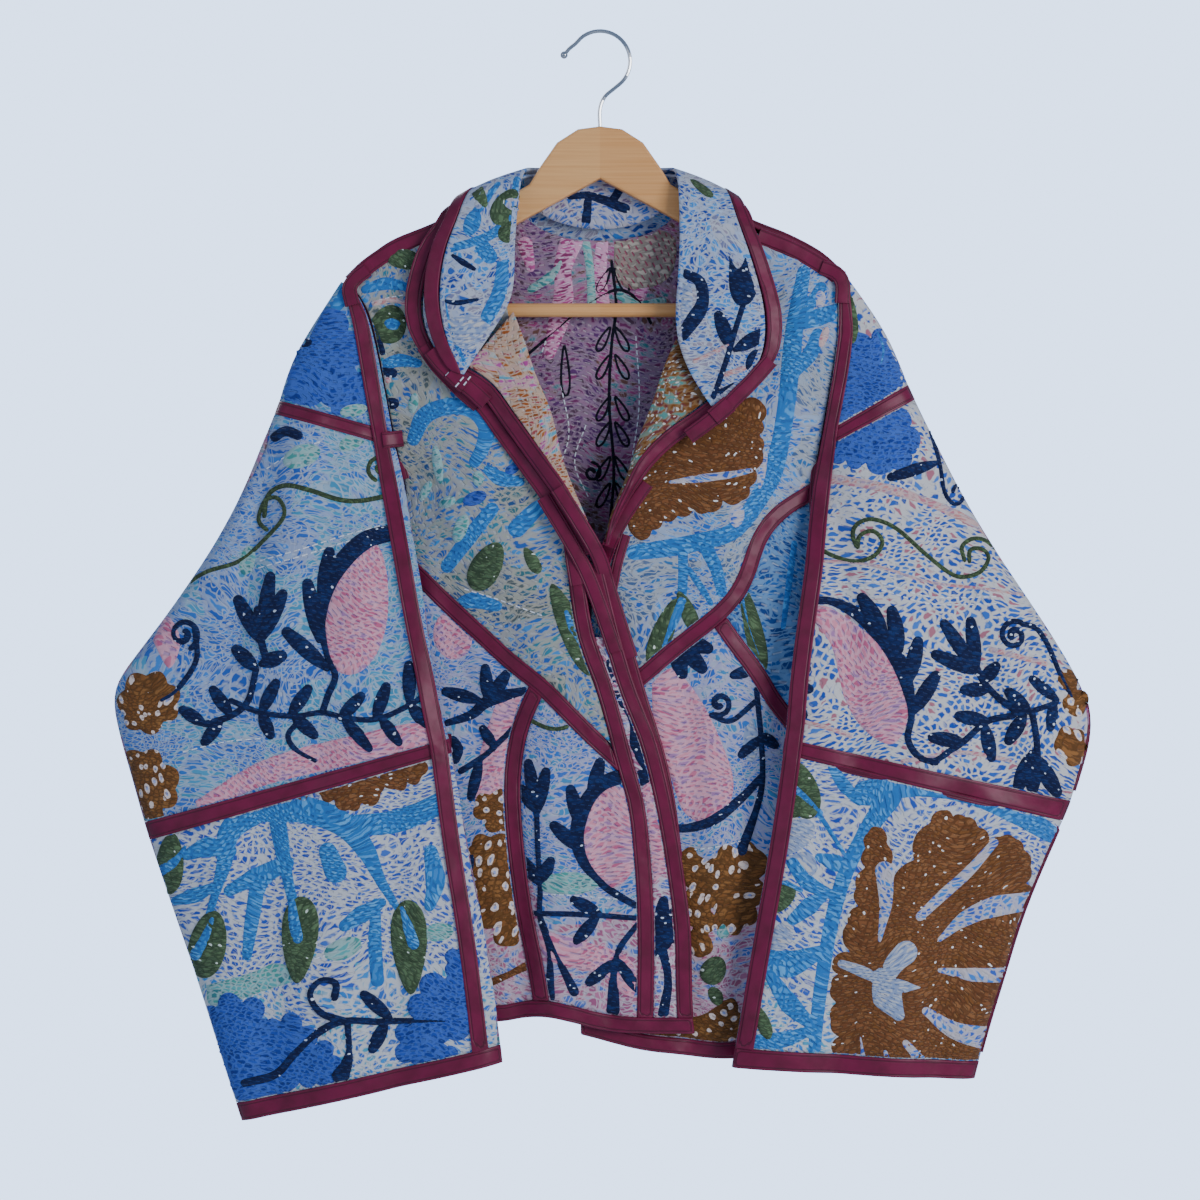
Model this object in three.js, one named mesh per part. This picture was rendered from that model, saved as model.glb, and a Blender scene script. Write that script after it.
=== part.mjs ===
import * as THREE from "three";

// Kantha jacket on a wooden hanger, in millimetres: X to the viewer's right, Y to the back, Z up.
// The origin is the seat inside the top of the hook, where a peg or rail holds the hanger.

// Driving sizes
const CLOTH = 2.4;
const SEAM_GAP = 0.6;
const HALF_GAP = 0.15;
const ARMHOLE_GAP = 0.75;
const SHOULDER_DEPTH = 8.8;
const SHOULDER_REACH = 9.6;
const SHOULDER_TOP = 3.4;
const SHOULDER_THICKNESS = 2.2;
const SHOULDER_ROUNDING = 30;
const SIDE_ROUNDING = 40;
const BODY_REACH = 220;
const NECK_REACH = 76;
const NECK_HEIGHT = -134;
const BINDING_WIDTH = 13;
const BINDING_PROUD = 0.8;
const BINDING_GAP = 0.1;
const LEAST_CLOTH = 0.25;
const FRONT_LAP = 8.5;
const UNDER_LEVEL = 4.4;
const UPPER_LEVEL = 9.4;
const LAPEL_BULGE = 5;
const UNDER_LAPEL_REACH = 11;
const WOOD_THICKNESS = 12;
const BAR_DIAMETER = 12;
const BAR_HEIGHT = -239;
const BAR_END = 166;
const HOOK_WIRE = 3.4;
const HOOK_RADIUS = 26;
const WOOD_TOP = -81;
const WOOD_BEVEL = 2;
const SLEEVE_ROUNDNESS = 3;
const UNDERARM_ROW = 3;

// Colours of the pieces, with their roughness
const QUILT_BLUE = { color: 0x8fa6c4, roughness: 0.92 };
const QUILT_CREAM = { color: 0xc8c3c6, roughness: 0.92 };
const LINING_PLUM = { color: 0x6a4460, roughness: 0.92 };
const LAPEL_RUST = { color: 0x8a5a44, roughness: 0.92 };
const SATIN_MAROON = { color: 0x6b1f3d, roughness: 0.45 };
const OILED_WOOD = { color: 0xdda566, roughness: 0.5 };
const CHROME_WIRE = { color: 0xc9ccd0, roughness: 0.15, metalness: 1 };

// Tables: every row becomes an object with the named columns
function table(columns, rows) {
  return rows.map((row) => Object.fromEntries(columns.map((name, k) => [name, row[k]])));
}

// Shoulder lines from the sleeve to the neck
const SHOULDER_LEFT = table(["x", "z"], [[-214, -211], [-184, -184], [-148, -170], [-76, -134]]);
const SHOULDER_RIGHT = table(["x", "z"], [[76, -134], [138, -172], [164, -182], [203, -204]]);

// Side seams, hidden by the sleeves, from below the underarm to the hem
const SEAM_LEFT = table(["x", "z"], [[-180, -450], [-200, -560], [-214, -700], [-226, -862]]);
const SEAM_RIGHT = table(["x", "z"], [[195, -460], [212, -560], [226, -700], [238, -890]]);

// How far the front and the back stand from the hanger's plane along the armhole and side seam
const SIDE_DEPTH = table(["z", "depth"], [
  [-200, 8.8], [-215, 9], [-250, 12], [-352, 11], [-400, 3.5], [-900, 3.5],
]);

// Depth of the front and of the back along the middle
const MIDDLE_DEPTH = table(["z", "front", "back"], [
  [-130, 14, 14], [-250, 20, 18], [-450, 26, 22], [-650, 27, 23], [-900, 26, 22],
]);

// Edges of the neck, hidden behind the collar's roll and the lapel's fold
const NECK_LEFT = table(["x", "z"], [
  [-76, -134], [-78, -195], [-80, -240], [-70, -268], [-60, -299], [-47, -329], [-37, -370],
  [-29, -402], [-29, -440],
]);
const NECK_RIGHT = table(["x", "z"], [
  [76, -134], [72, -200], [70, -250], [58, -295], [38, -350], [26, -387], [10, -425], [-4, -455],
]);
const NECK_BACK = table(["x", "z"], [
  [-76, -134], [-62, -154], [-38, -166], [0, -170], [38, -166], [62, -154], [76, -134],
]);

// Seams and edges of the fronts
const FRONT_EDGE = table(["x", "z"], [
  [0, -452], [19, -528], [32, -569], [46, -603], [58, -648], [67, -694], [72, -728], [77, -769],
  [79, -842], [84, -880],
]);
const UNDER_EDGE = table(["x", "z"], [
  [4, -468], [19, -501], [30, -537], [41, -575], [53, -612], [63, -655], [70, -708],
]);
const PLACKET_SEAM = table(["x", "z"], [
  [-22, -440], [-19, -478], [-11, -524], [1, -555], [12, -592], [21, -628], [31, -662], [36, -708],
  [39, -759], [38, -880],
]);
const LEFT_DIAGONAL = table(["x", "z"], [
  [-200, -426], [-152, -471], [-129, -494], [-102, -518], [-74, -544], [-52, -560], [-25, -587],
  [-2, -610], [30, -638],
]);
const LEFT_CURVE = table(["x", "z"], [
  [-48, -550], [-56, -569], [-68, -596], [-75, -640], [-74, -677], [-70, -718], [-64, -759],
  [-54, -807], [-44, -880],
]);
const RIGHT_FRONT_EDGE = table(["x", "z"], [[-4, -455], [-12, -560], [-18, -700], [-16, -900]]);
const RIGHT_CURVE = table(["x", "z"], [
  [-40, -606], [0, -580], [35, -555], [58, -535], [81, -517], [99, -503], [115, -487], [126, -467],
  [133, -444],
  [140, -429], [157, -411], [175, -400], [200, -386],
]);
const RIGHT_DIAGONAL = table(["x", "z"], [
  [92, -492], [101, -505], [117, -528], [135, -551], [151, -578], [185, -615], [240, -655],
]);
const LEFT_HEM = table(["x", "z"], [
  [-250, -838], [-160, -846], [-84, -849], [-48, -843], [8, -856], [84, -858], [100, -858],
]);
const RIGHT_HEM = table(["x", "z"], [
  [-40, -853], [4, -865], [35, -873], [70, -877], [105, -881], [180, -874], [260, -862],
]);
const BACK_HEM = table(["x", "z"], [[-250, -834], [-120, -840], [0, -842], [120, -842], [260, -848]]);

// Turned-out lapels: the fold and the outer edge, from the notch down to the point of the neck
const LAPEL_LEFT_FOLD = table(["x", "z"], [
  [-74, -243], [-65, -266], [-55, -297], [-42, -327], [-32, -369], [-20, -400], [-7, -430],
  [-3, -447],
]);
const LAPEL_LEFT_EDGE = table(["x", "z"], [
  [-123, -300], [-102, -313], [-82, -340], [-61, -369], [-40, -398], [-20, -427], [-8, -447],
]);
const LAPEL_RIGHT_FOLD = table(["x", "z"], [
  [65, -266], [54, -291], [46, -317], [34, -348], [22, -385], [9, -416], [3, -444],
]);
const LAPEL_RIGHT_EDGE = table(["x", "z"], [
  [103, -327], [83, -342], [63, -356], [42, -377], [22, -408], [11, -430], [7, -444],
]);

// Collar, a row for each section from the left notch round the back to the right notch
const COLLAR_COLUMNS = ["rollX", "rollY", "rollZ", "edgeX", "edgeY", "edgeZ", "bulge"];
const COLLAR = table(COLLAR_COLUMNS, [
  [-116, -37, -297, -127, -37, -294, 0],
  [-107, -38, -283, -137, -37, -280, 2],
  [-91, -38, -259, -146, -36, -257, 3],
  [-78, -37, -238, -150, -33, -230, 4],
  [-73, -34, -216, -148, -31, -207, 5],
  [-73, -30, -190, -143, -28, -184, 5],
  [-71, -25, -158, -134, -24, -166, 5],
  [-68, -20, -129, -127, -19, -148, 4],
  [-65, -4, -117, -119, 0, -139, 4],
  [-60, 10, -115, -113, 18, -142, 4],
  [-49, 18, -114, -101, 27, -160, 3],
  [-27, 21.5, -114, -58, 35, -178, 3],
  [0, 22.5, -114, 0, 38, -186, 3],
  [27, 21.5, -114, 58, 35, -178, 3],
  [49, 18, -114, 101, 27, -160, 3],
  [60, 10, -115, 112, 18, -143, 4],
  [65, -4, -117, 118, 0, -140, 4],
  [67, -20, -130, 123, -19, -150, 4],
  [68, -25, -158, 129, -24, -166, 5],
  [68, -30, -190, 138, -28, -186, 5],
  [66, -35, -222, 150, -32, -224, 5],
  [64, -38, -256, 155, -35, -249, 4],
  [72, -39, -286, 153, -37, -275, 3],
  [84, -39, -308, 140, -38, -297, 2],
  [95, -38, -324, 106, -38, -322, 0],
]);

// Under leaf of the collar, wider than the upper one on the left
const UNDER_COLLAR = table(COLLAR_COLUMNS, [
  [-122, -27, -291, -138, -27, -289, 0],
  [-112, -28, -279, -153, -26, -278, 0],
  [-97, -28, -256, -164, -25, -257, 0],
  [-84, -28, -236, -167, -24, -234, 0],
  [-80, -26, -215, -162, -21, -207, 0],
  [-79, -22, -190, -154, -19, -184, 0],
  [-76, -18, -156, -142, -17, -168, 0],
  [-73, -15, -132.5, -133, -13.7, -153, 0],
  [-69, -3, -123, -123, 2, -147.6, 1],
  [-62, 9, -121, -115, 14.5, -147, 1],
  [-50, 13.8, -120, -101, 20, -163, 0],
  [-27, 17, -121, -56, 28, -184, 0],
  [0, 18, -121, 0, 31, -194, 0],
  [27, 17, -121, 56, 28, -184, 0],
  [50, 13.8, -120, 101, 20, -163, 0],
  [62, 9, -121, 114, 14.5, -148, 1],
  [69, -3, -123, 119, 2, -148.2, 1],
  [73, -15.2, -132.2, 127, -13.9, -153.4, 0],
  [74, -18, -156, 132, -17, -168, 0],
  [73, -22, -190, 134, -19, -186, 0],
  [71, -26, -222, 145, -22, -224, 0],
  [70, -28, -256, 149, -25, -249, 0],
  [78, -29, -286, 147, -27, -275, 0],
  [90, -29, -302, 134, -28, -294, 0],
  [100, -28, -314, 108, -28, -312, 0],
]);

// Collar stand inside the back of the neck, from the neck seam up to the roll
const COLLAR_STAND = table(COLLAR_COLUMNS, [
  [-52, 9.2, -124, -52, 9.2, -154, 0],
  [-40, 11, -118, -40, 11, -161, 0],
  [-20, 13, -118, -20, 13, -166, 0],
  [0, 13.8, -118, 0, 13.8, -168, 0],
  [20, 13, -118, 20, 13, -166, 0],
  [40, 11, -118, 40, 11, -161, 0],
  [52, 9.2, -124, 52, 9.2, -154, 0],
]);

// Sleeves, a row for each section from the shoulder down. Depth is half the sleeve's thickness,
// gap half the opening left at the armhole, seam the distance from the inner edge to the front binding.
const SLEEVE_COLUMNS = ["outerX", "outerZ", "innerX", "innerZ", "outerY", "innerY", "depth", "gap", "seam"];
const LEFT_SLEEVE = {
  name: "left_sleeve",
  side: -1,
  seams: [2, 8],
  rows: table(SLEEVE_COLUMNS, [
    [-223, -215, -214, -220, 0, 0, 10, 9, 4],
    [-262, -276, -197, -250, 0, 0, 14, 12, 8],
    [-278, -323, -177, -352, -2, -2, 17, 11, 12],
    [-310, -404, -167, -395, -8, -11, 17, 0, 13],
    [-347, -467, -157, -450, -15, -32, 16, 0, 12],
    [-389, -527, -147, -505, -22, -40, 15, 0, 12],
    [-417, -566, -142, -548, -26, -44, 15, 0, 8],
    [-407, -612, -136, -580, -28, -46, 15, 0, 8],
    [-386, -686, -127, -612, -30, -47, 15, 0, 10],
    [-364, -752, -113, -694, -31, -48, 15, 0, 13],
    [-345, -806, -100, -760, -32, -49, 15, 0, 15],
    [-325, -870, -90, -820, -32, -49, 15, 0, 17],
    [-305, -932, -83, -880, -32, -49, 14, 0, 17],
  ]),
};
const RIGHT_SLEEVE = {
  name: "right_sleeve",
  side: 1,
  seams: [2, 8],
  rows: table(SLEEVE_COLUMNS, [
    [210, -207, 203, -210, 0, 0, 10, 9, 4],
    [246, -258, 205, -262, 0, 0, 14, 12, 7],
    [268, -310, 190, -354, -2, -2, 17, 11, 8],
    [310, -397, 181, -405, -8, -11, 17, 0, 8],
    [346, -457, 175, -460, -15, -32, 16, 0, 8],
    [382, -512, 168, -505, -22, -40, 15, 0, 8],
    [420, -579, 161, -560, -26, -44, 15, 0, 8],
    [411, -628, 159, -588, -28, -46, 15, 0, 8],
    [398, -668, 156, -612, -30, -47, 15, 0, 8],
    [363, -747, 147, -680, -31, -48, 15, 0, 8],
    [345, -806, 133, -760, -32, -49, 15, 0, 8],
    [331, -850, 121, -830, -32, -49, 15, 0, 8],
    [319, -896, 112, -884, -32, -49, 14, 0, 8],
  ]),
};

// Soft folds: each runs from one point to another, with its reach to both sides and its rise
const BODY_FOLDS = table(["fromX", "fromZ", "toX", "toZ", "reach", "rise"], [
  [-150, -240, -60, -520, 38, 4],
  [-110, -600, -140, -850, 40, 4],
  [0, -640, 10, -850, 34, 3],
  [140, -250, 90, -480, 38, 4],
  [110, -600, 130, -880, 42, 5],
]);
const SLEEVE_FOLDS = table(["fromU", "fromV", "toU", "toV", "reach", "rise"], [
  [0.35, 1.5, 0.45, 6.0, 0.1, 5],
  [0.7, 3.0, 0.62, 7.5, 0.1, 4],
  [0.3, 7.0, 0.42, 12.0, 0.12, 5],
  [0.75, 8.5, 0.7, 12.0, 0.1, 4],
]);

function mix(a, b, share) {
  return a + (b - a) * share;
}

function smooth(share) {
  const t = Math.min(Math.max(share, 0), 1);
  return t * t * (3 - 2 * t);
}

// Reads a column of a table whose rows fall along another column
function lookUp(rows, along, wanted, value) {
  const last = rows.length - 2;
  const spans = (row, k) => k > last || (row[along] - value) * (rows[k + 1][along] - value) <= 0;
  const k = Math.min(Math.max(rows.findIndex(spans), 0), last);
  const share = (value - rows[k][along]) / (rows[k + 1][along] - rows[k][along]);
  return mix(rows[k][wanted], rows[k + 1][wanted], Math.min(Math.max(share, 0), 1));
}

// A section between two rows of a table, on a smooth line through all of them
function rowAt(rows, place) {
  const k = Math.min(Math.max(Math.floor(place), 0), rows.length - 2);
  const share = place - k;
  const at = (index, name) => rows[Math.min(Math.max(index, 0), rows.length - 1)][name];
  return Object.fromEntries(Object.keys(rows[0]).map((name) => {
    const [a, b, c, d] = [at(k - 1, name), at(k, name), at(k + 1, name), at(k + 2, name)];
    const value = 0.5 * (2 * b + (c - a) * share + (2 * a - 5 * b + 4 * c - d) * share ** 2
      + (3 * b - a - 3 * c + d) * share ** 3);
    return [name, value];
  }));
}

// The body's edge: the armhole, which is the sleeve's inner edge moved in by a gap, then the side seam
function bodyEdge(sleeve, seam) {
  const armhole = Array.from({ length: UNDERARM_ROW * 4 + 1 }, (_, k) => {
    const row = rowAt(sleeve.rows, k / 4);
    return { x: row.innerX - sleeve.side * ARMHOLE_GAP, z: row.innerZ };
  });
  return [...armhole, ...seam];
}

const SIDE_LEFT = bodyEdge(LEFT_SLEEVE, SEAM_LEFT);
const SIDE_RIGHT = bodyEdge(RIGHT_SLEEVE, SEAM_RIGHT);

// Height of a soft fold at a distance from its line, worked out for a point and a table of folds
function foldHeight(folds, a, b, names) {
  let height = 0;
  for (const fold of folds) {
    const [fromA, fromB, toA, toB] = names.map((name) => fold[name]);
    const alongB = (b - fromB) / (toB - fromB);
    const distance = (a - mix(fromA, toA, alongB)) / fold.reach;
    const ends = smooth(alongB * 4) * smooth((1 - alongB) * 4);
    height += fold.rise * ends * Math.exp(-distance * distance);
  }
  return height;
}

// Depth of the body's cloth from the hanger's plane, on the front or on the back
function bodyDepth(x, z, face) {
  const left = x < 0;
  const edge = Math.abs(lookUp(left ? SIDE_LEFT : SIDE_RIGHT, "z", "x", z));
  const line = left ? SHOULDER_LEFT : SHOULDER_RIGHT;
  const shoulder = Math.abs(x) < NECK_REACH ? NECK_HEIGHT : lookUp(line, "x", "z", x);
  const middle = lookUp(MIDDLE_DEPTH, "z", face, z) * (1 - 0.5 * (x / BODY_REACH) ** 2);
  const below = Math.min(Math.max((shoulder - z) / SHOULDER_ROUNDING, 0), 1) ** 0.6;
  const full = mix(SHOULDER_DEPTH, Math.max(middle, SHOULDER_DEPTH), below);
  const atSide = lookUp(SIDE_DEPTH, "z", "depth", z);
  const inward = smooth((edge - Math.abs(x)) / SIDE_ROUNDING);
  const fold = foldHeight(BODY_FOLDS, x, z, ["fromX", "fromZ", "toX", "toZ"]) * inward;
  return mix(atSide, full, inward) + fold * (face === "front" ? 1 : 0.6);
}

const rightFrontFace = (x, z) => -bodyDepth(x, z, "front");
const leftFrontFace = (x, z) => rightFrontFace(x, z) - FRONT_LAP * smooth((x + 90) / 70);
const backFace = (x, z) => bodyDepth(x, z, "back");

// A smooth line through the points of a table, as evenly spaced points
function drawn(points, count = 80) {
  const knots = points.map((p) => new THREE.Vector3(p.x, 0, p.z));
  const spline = new THREE.CatmullRomCurve3(knots, false, "centripetal");
  return spline.getSpacedPoints(count - 1).map((p) => ({ x: p.x, z: p.z }));
}

// The line beside another at a distance, to the left of its travel
function beside(line, shift) {
  return line.map((p, k) => {
    const before = line[Math.max(k - 1, 0)];
    const after = line[Math.min(k + 1, line.length - 1)];
    const dx = after.x - before.x;
    const dz = after.z - before.z;
    const length = Math.hypot(dx, dz);
    return { x: p.x - (dz / length) * shift, z: p.z + (dx / length) * shift };
  });
}

// Place along the first line where the second crosses it
function crossing(line, other) {
  for (let i = 0; i < line.length - 1; i += 1) {
    for (let j = 0; j < other.length - 1; j += 1) {
      const a = line[i];
      const b = other[j];
      const ax = line[i + 1].x - a.x;
      const az = line[i + 1].z - a.z;
      const bx = other[j + 1].x - b.x;
      const bz = other[j + 1].z - b.z;
      const turn = ax * bz - az * bx;
      const along = ((b.x - a.x) * bz - (b.z - a.z) * bx) / turn;
      const across = ((b.x - a.x) * az - (b.z - a.z) * ax) / turn;
      if (along >= 0 && along <= 1 && across >= 0 && across <= 1) {
        return i + along;
      }
    }
  }
  throw new Error(`no crossing near ${line[0].x},${line[0].z} and ${other[0].x},${other[0].z}`);
}

// The stretch of a line between two others that cross it, or up to its own end
function between(line, start, end, count) {
  const from = start ? crossing(line, start) : 0;
  const to = end ? crossing(line, end) : line.length - 1;
  return Array.from({ length: count }, (_, step) => {
    const place = mix(from, to, step / (count - 1));
    const k = Math.min(Math.floor(place), line.length - 2);
    return {
      x: mix(line[k].x, line[k + 1].x, place - k),
      z: mix(line[k].z, line[k + 1].z, place - k),
    };
  });
}

// Points inside four edges, a row of them for each point of the left edge
function patch(top, bottom, left, right) {
  const columns = top.length - 1;
  const rows = left.length - 1;
  return left.map((start, row) => top.map((upper, column) => {
    const u = column / columns;
    const v = row / rows;
    const blend = (key) => {
      const across = mix(start[key], right[row][key], u);
      const down = mix(upper[key], bottom[column][key], v);
      const upperCorners = mix(top[0][key], top[columns][key], u);
      const lowerCorners = mix(bottom[0][key], bottom[columns][key], u);
      return across + down - mix(upperCorners, lowerCorners, v);
    };
    return { x: blend("x"), z: blend("z") };
  }));
}

// Draws the edge points of a grid in, so that neighbours keep their gap
function drawnIn(grid, endGap = SEAM_GAP, sideGap = SEAM_GAP) {
  const lastRow = grid.length - 1;
  const lastColumn = grid[0].length - 1;
  return grid.map((line, row) => line.map((p, column) => {
    const moved = { x: p.x, z: p.z };
    const pull = (q, gap) => {
      const length = Math.hypot(q.x - p.x, q.z - p.z) || 1;
      moved.x += ((q.x - p.x) / length) * gap;
      moved.z += ((q.z - p.z) / length) * gap;
    };
    if (row === 0) pull(grid[1][column], endGap);
    if (row === lastRow) pull(grid[lastRow - 1][column], endGap);
    if (column === 0) pull(grid[row][1], sideGap);
    if (column === lastColumn) pull(grid[row][lastColumn - 1], sideGap);
    return moved;
  }));
}

// One closed body between two grids of points, round a ring if it is closed
function wall(outer, inner, closed = false) {
  const rows = outer.length;
  const columns = outer[0].length;
  const layer = rows * columns;
  const place = (side, row, column) => side * layer + row * columns + (column % columns);
  const index = [];
  const face = (a, b, c, d) => index.push(a, b, c, a, c, d);
  const spans = closed ? columns : columns - 1;
  for (let column = 0; column < spans; column += 1) {
    const next = column + 1;
    for (let row = 0; row < rows - 1; row += 1) {
      face(place(0, row, column), place(0, row + 1, column), place(0, row + 1, next), place(0, row, next));
      face(place(1, row, column), place(1, row, next), place(1, row + 1, next), place(1, row + 1, column));
    }
    const end = rows - 1;
    face(place(0, 0, column), place(0, 0, next), place(1, 0, next), place(1, 0, column));
    face(place(0, end, next), place(0, end, column), place(1, end, column), place(1, end, next));
  }
  for (let row = 0; row < rows - 1 && !closed; row += 1) {
    const end = columns - 1;
    face(place(0, row + 1, 0), place(0, row, 0), place(1, row, 0), place(1, row + 1, 0));
    face(place(0, row, end), place(0, row + 1, end), place(1, row + 1, end), place(1, row, end));
  }
  const points = [...outer.flat(), ...inner.flat()];
  return outward(points, index);
}

// Geometry of a closed body with its faces turned outward
function outward(points, index) {
  let volume = 0;
  for (let k = 0; k < index.length; k += 3) {
    const [a, b, c] = [points[index[k]], points[index[k + 1]], points[index[k + 2]]];
    volume += a.dot(new THREE.Vector3().crossVectors(b, c));
  }
  const turned = volume < 0 ? index.slice().reverse() : index;
  const geometry = new THREE.BufferGeometry();
  const numbers = points.flatMap((p) => [p.x, p.y, p.z]);
  geometry.setAttribute("position", new THREE.Float32BufferAttribute(numbers, 3));
  geometry.setIndex(turned);
  geometry.computeVertexNormals();
  return geometry;
}

const jacket = new THREE.Group();

function add(name, geometry, finish) {
  const mesh = new THREE.Mesh(geometry, new THREE.MeshStandardMaterial({ metalness: 0, ...finish }));
  mesh.name = name;
  jacket.add(mesh);
}

// Cloth of one thickness straight front to back, so that neighbours never meet
function addLayer(name, grid, faceAt, thickness, finish) {
  const outer = grid.map((line) => line.map((p) => new THREE.Vector3(p.x, faceAt(p.x, p.z), p.z)));
  const inner = outer.map((line) => line.map((p) => new THREE.Vector3(p.x, p.y + thickness, p.z)));
  add(name, wall(outer, inner), finish);
}

function addPanel(name, grid, faceAt, finish) {
  const toward = faceAt === backFace ? -CLOTH : CLOTH;
  addLayer(name, drawnIn(grid), faceAt, toward, finish);
}

// A bias binding between two lines, a little proud of the cloth on both faces
function addBinding(name, first, second, faceAt) {
  const back = faceAt === backFace;
  const proud = back ? BINDING_PROUD : -BINDING_PROUD;
  const thickness = (CLOTH + 2 * BINDING_PROUD) * (back ? -1 : 1);
  const grid = first.map((p, k) => [p, second[k]]);
  const proudFace = (x, z) => faceAt(x, z) + proud;
  addLayer(name, drawnIn(grid, SEAM_GAP, BINDING_GAP), proudFace, thickness, SATIN_MAROON);
}

// Body: lines shared by the panels
const half = BINDING_WIDTH / 2;
const sideLeft = drawn(SIDE_LEFT);
const sideRight = drawn(SIDE_RIGHT);
const frontEdge = drawn(FRONT_EDGE);
const frontEdgeInner = beside(frontEdge, -BINDING_WIDTH);
const placketLine = drawn(PLACKET_SEAM);
const placketLeft = beside(placketLine, -half);
const placketRight = beside(placketLine, half);
const leftDiagonal = drawn(LEFT_DIAGONAL);
const diagonalUpper = beside(leftDiagonal, half);
const diagonalLower = beside(leftDiagonal, -half);
const leftCurve = drawn(LEFT_CURVE);
const curveLeft = beside(leftCurve, -half);
const curveRight = beside(leftCurve, half);
const leftHem = drawn(LEFT_HEM);
const leftHemUpper = beside(leftHem, BINDING_WIDTH);
const rightFrontEdge = drawn(RIGHT_FRONT_EDGE);
const rightCurve = drawn(RIGHT_CURVE);
const rightCurveUpper = beside(rightCurve, half);
const rightCurveLower = beside(rightCurve, -half);
const rightDiagonal = drawn(RIGHT_DIAGONAL);
const rightDiagonalUpper = beside(rightDiagonal, half);
const rightDiagonalLower = beside(rightDiagonal, -half);
const rightHem = drawn(RIGHT_HEM);
const rightHemUpper = beside(rightHem, BINDING_WIDTH);
const backHem = drawn(BACK_HEM);
const backHemUpper = beside(backHem, BINDING_WIDTH);
const neckLeft = drawn(NECK_LEFT).concat(beside(placketLine, -half - SEAM_GAP).slice(2));
const neckRight = drawn(NECK_RIGHT).concat(rightFrontEdge.slice(1));

function buildLeftFront() {
  const bottomLeft = between(diagonalUpper, sideLeft, placketLeft, 12);
  addPanel(
    "left_front_upper",
    patch(drawn(SHOULDER_LEFT, 12), bottomLeft, between(sideLeft, null, diagonalUpper, 24),
      between(neckLeft, null, diagonalUpper, 24)),
    leftFrontFace,
    QUILT_BLUE,
  );
  addPanel(
    "left_front_side",
    patch(
      between(diagonalLower, sideLeft, curveLeft, 9),
      between(leftHemUpper, sideLeft, curveLeft, 9),
      between(sideLeft, diagonalLower, leftHemUpper, 13),
      between(curveLeft, diagonalLower, leftHemUpper, 13),
    ),
    leftFrontFace,
    QUILT_CREAM,
  );
  addPanel(
    "left_front_centre",
    patch(
      between(diagonalLower, curveRight, placketLeft, 6),
      between(leftHemUpper, curveRight, placketLeft, 6),
      between(curveRight, diagonalLower, leftHemUpper, 11),
      between(placketLeft, diagonalLower, leftHemUpper, 11),
    ),
    leftFrontFace,
    QUILT_BLUE,
  );
  const placketTop = [{ x: -30, z: -520 }, { x: 60, z: -520 }];
  const meeting = (line, other) => between(line, other, null, 2)[0];
  const stripTop = [meeting(placketRight, placketTop), meeting(frontEdgeInner, placketTop)];
  const stripLow = [meeting(placketRight, leftHemUpper), meeting(frontEdgeInner, leftHemUpper)];
  addPanel(
    "left_front_placket",
    patch(stripTop, stripLow, between(placketRight, placketTop, leftHemUpper, 12),
      between(frontEdgeInner, placketTop, leftHemUpper, 12)),
    leftFrontFace,
    QUILT_CREAM,
  );
}

function buildLeftBindings() {
  addBinding("left_diagonal_binding", between(diagonalUpper, sideLeft, placketLeft, 12),
    between(diagonalLower, sideLeft, placketLeft, 12), leftFrontFace);
  addBinding("left_curve_binding", between(curveLeft, diagonalLower, leftHemUpper, 15),
    between(curveRight, diagonalLower, leftHemUpper, 15), leftFrontFace);
  const placketTop = [{ x: -60, z: -458 }, { x: 60, z: -458 }];
  addBinding("placket_binding", between(placketLeft, placketTop, leftHemUpper, 20),
    between(placketRight, placketTop, leftHemUpper, 20), leftFrontFace);
  addBinding("front_edge_binding", between(frontEdgeInner, placketTop, leftHemUpper, 22),
    between(frontEdge, placketTop, leftHemUpper, 22), leftFrontFace);
  addBinding("left_hem_binding", between(leftHemUpper, sideLeft, frontEdge, 18),
    between(leftHem, sideLeft, frontEdge, 18), leftFrontFace);
  const underEdge = drawn(UNDER_EDGE, 14);
  addBinding("front_under_binding", beside(underEdge, -BINDING_WIDTH), underEdge,
    (x, z) => rightFrontFace(x, z) - UNDER_LEVEL);
}

function buildRightFront() {
  addPanel(
    "right_front_upper",
    patch(drawn(SHOULDER_RIGHT, 17), between(rightCurveUpper, neckRight, sideRight, 17),
      between(neckRight, null, rightCurveUpper, 15), between(sideRight, null, rightCurveUpper, 15)),
    rightFrontFace,
    QUILT_BLUE,
  );
  const gussetStart = [{ x: 118, z: -400 }, { x: 118, z: -700 }];
  const gussetTop = between(rightCurveLower, gussetStart, sideRight, 10);
  const gussetLow = between(rightDiagonalUpper, gussetStart, sideRight, 10);
  addPanel(
    "right_front_gusset",
    patch(gussetTop, gussetLow, between([gussetTop[0], gussetLow[0]], null, null, 8),
      between(sideRight, rightCurveLower, rightDiagonalUpper, 8)),
    rightFrontFace,
    QUILT_CREAM,
  );
  const top = between(rightCurveLower, neckRight, rightDiagonalLower, 9)
    .concat(between(rightDiagonalLower, rightCurveLower, sideRight, 10).slice(1));
  addPanel(
    "right_front_lower",
    patch(top, between(rightHemUpper, neckRight, sideRight, top.length),
      between(neckRight, rightCurveLower, rightHemUpper, 14),
      between(sideRight, rightDiagonalLower, rightHemUpper, 14)),
    rightFrontFace,
    QUILT_CREAM,
  );
}

function buildRightBindings() {
  addBinding("right_curve_binding", between(rightCurveUpper, neckRight, sideRight, 17),
    between(rightCurveLower, neckRight, sideRight, 17), rightFrontFace);
  addBinding("right_diagonal_binding", between(rightDiagonalUpper, rightCurveLower, sideRight, 10),
    between(rightDiagonalLower, rightCurveLower, sideRight, 10), rightFrontFace);
  addBinding("right_hem_binding", between(rightHemUpper, neckRight, sideRight, 18),
    between(rightHem, neckRight, sideRight, 18), rightFrontFace);
}

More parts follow.
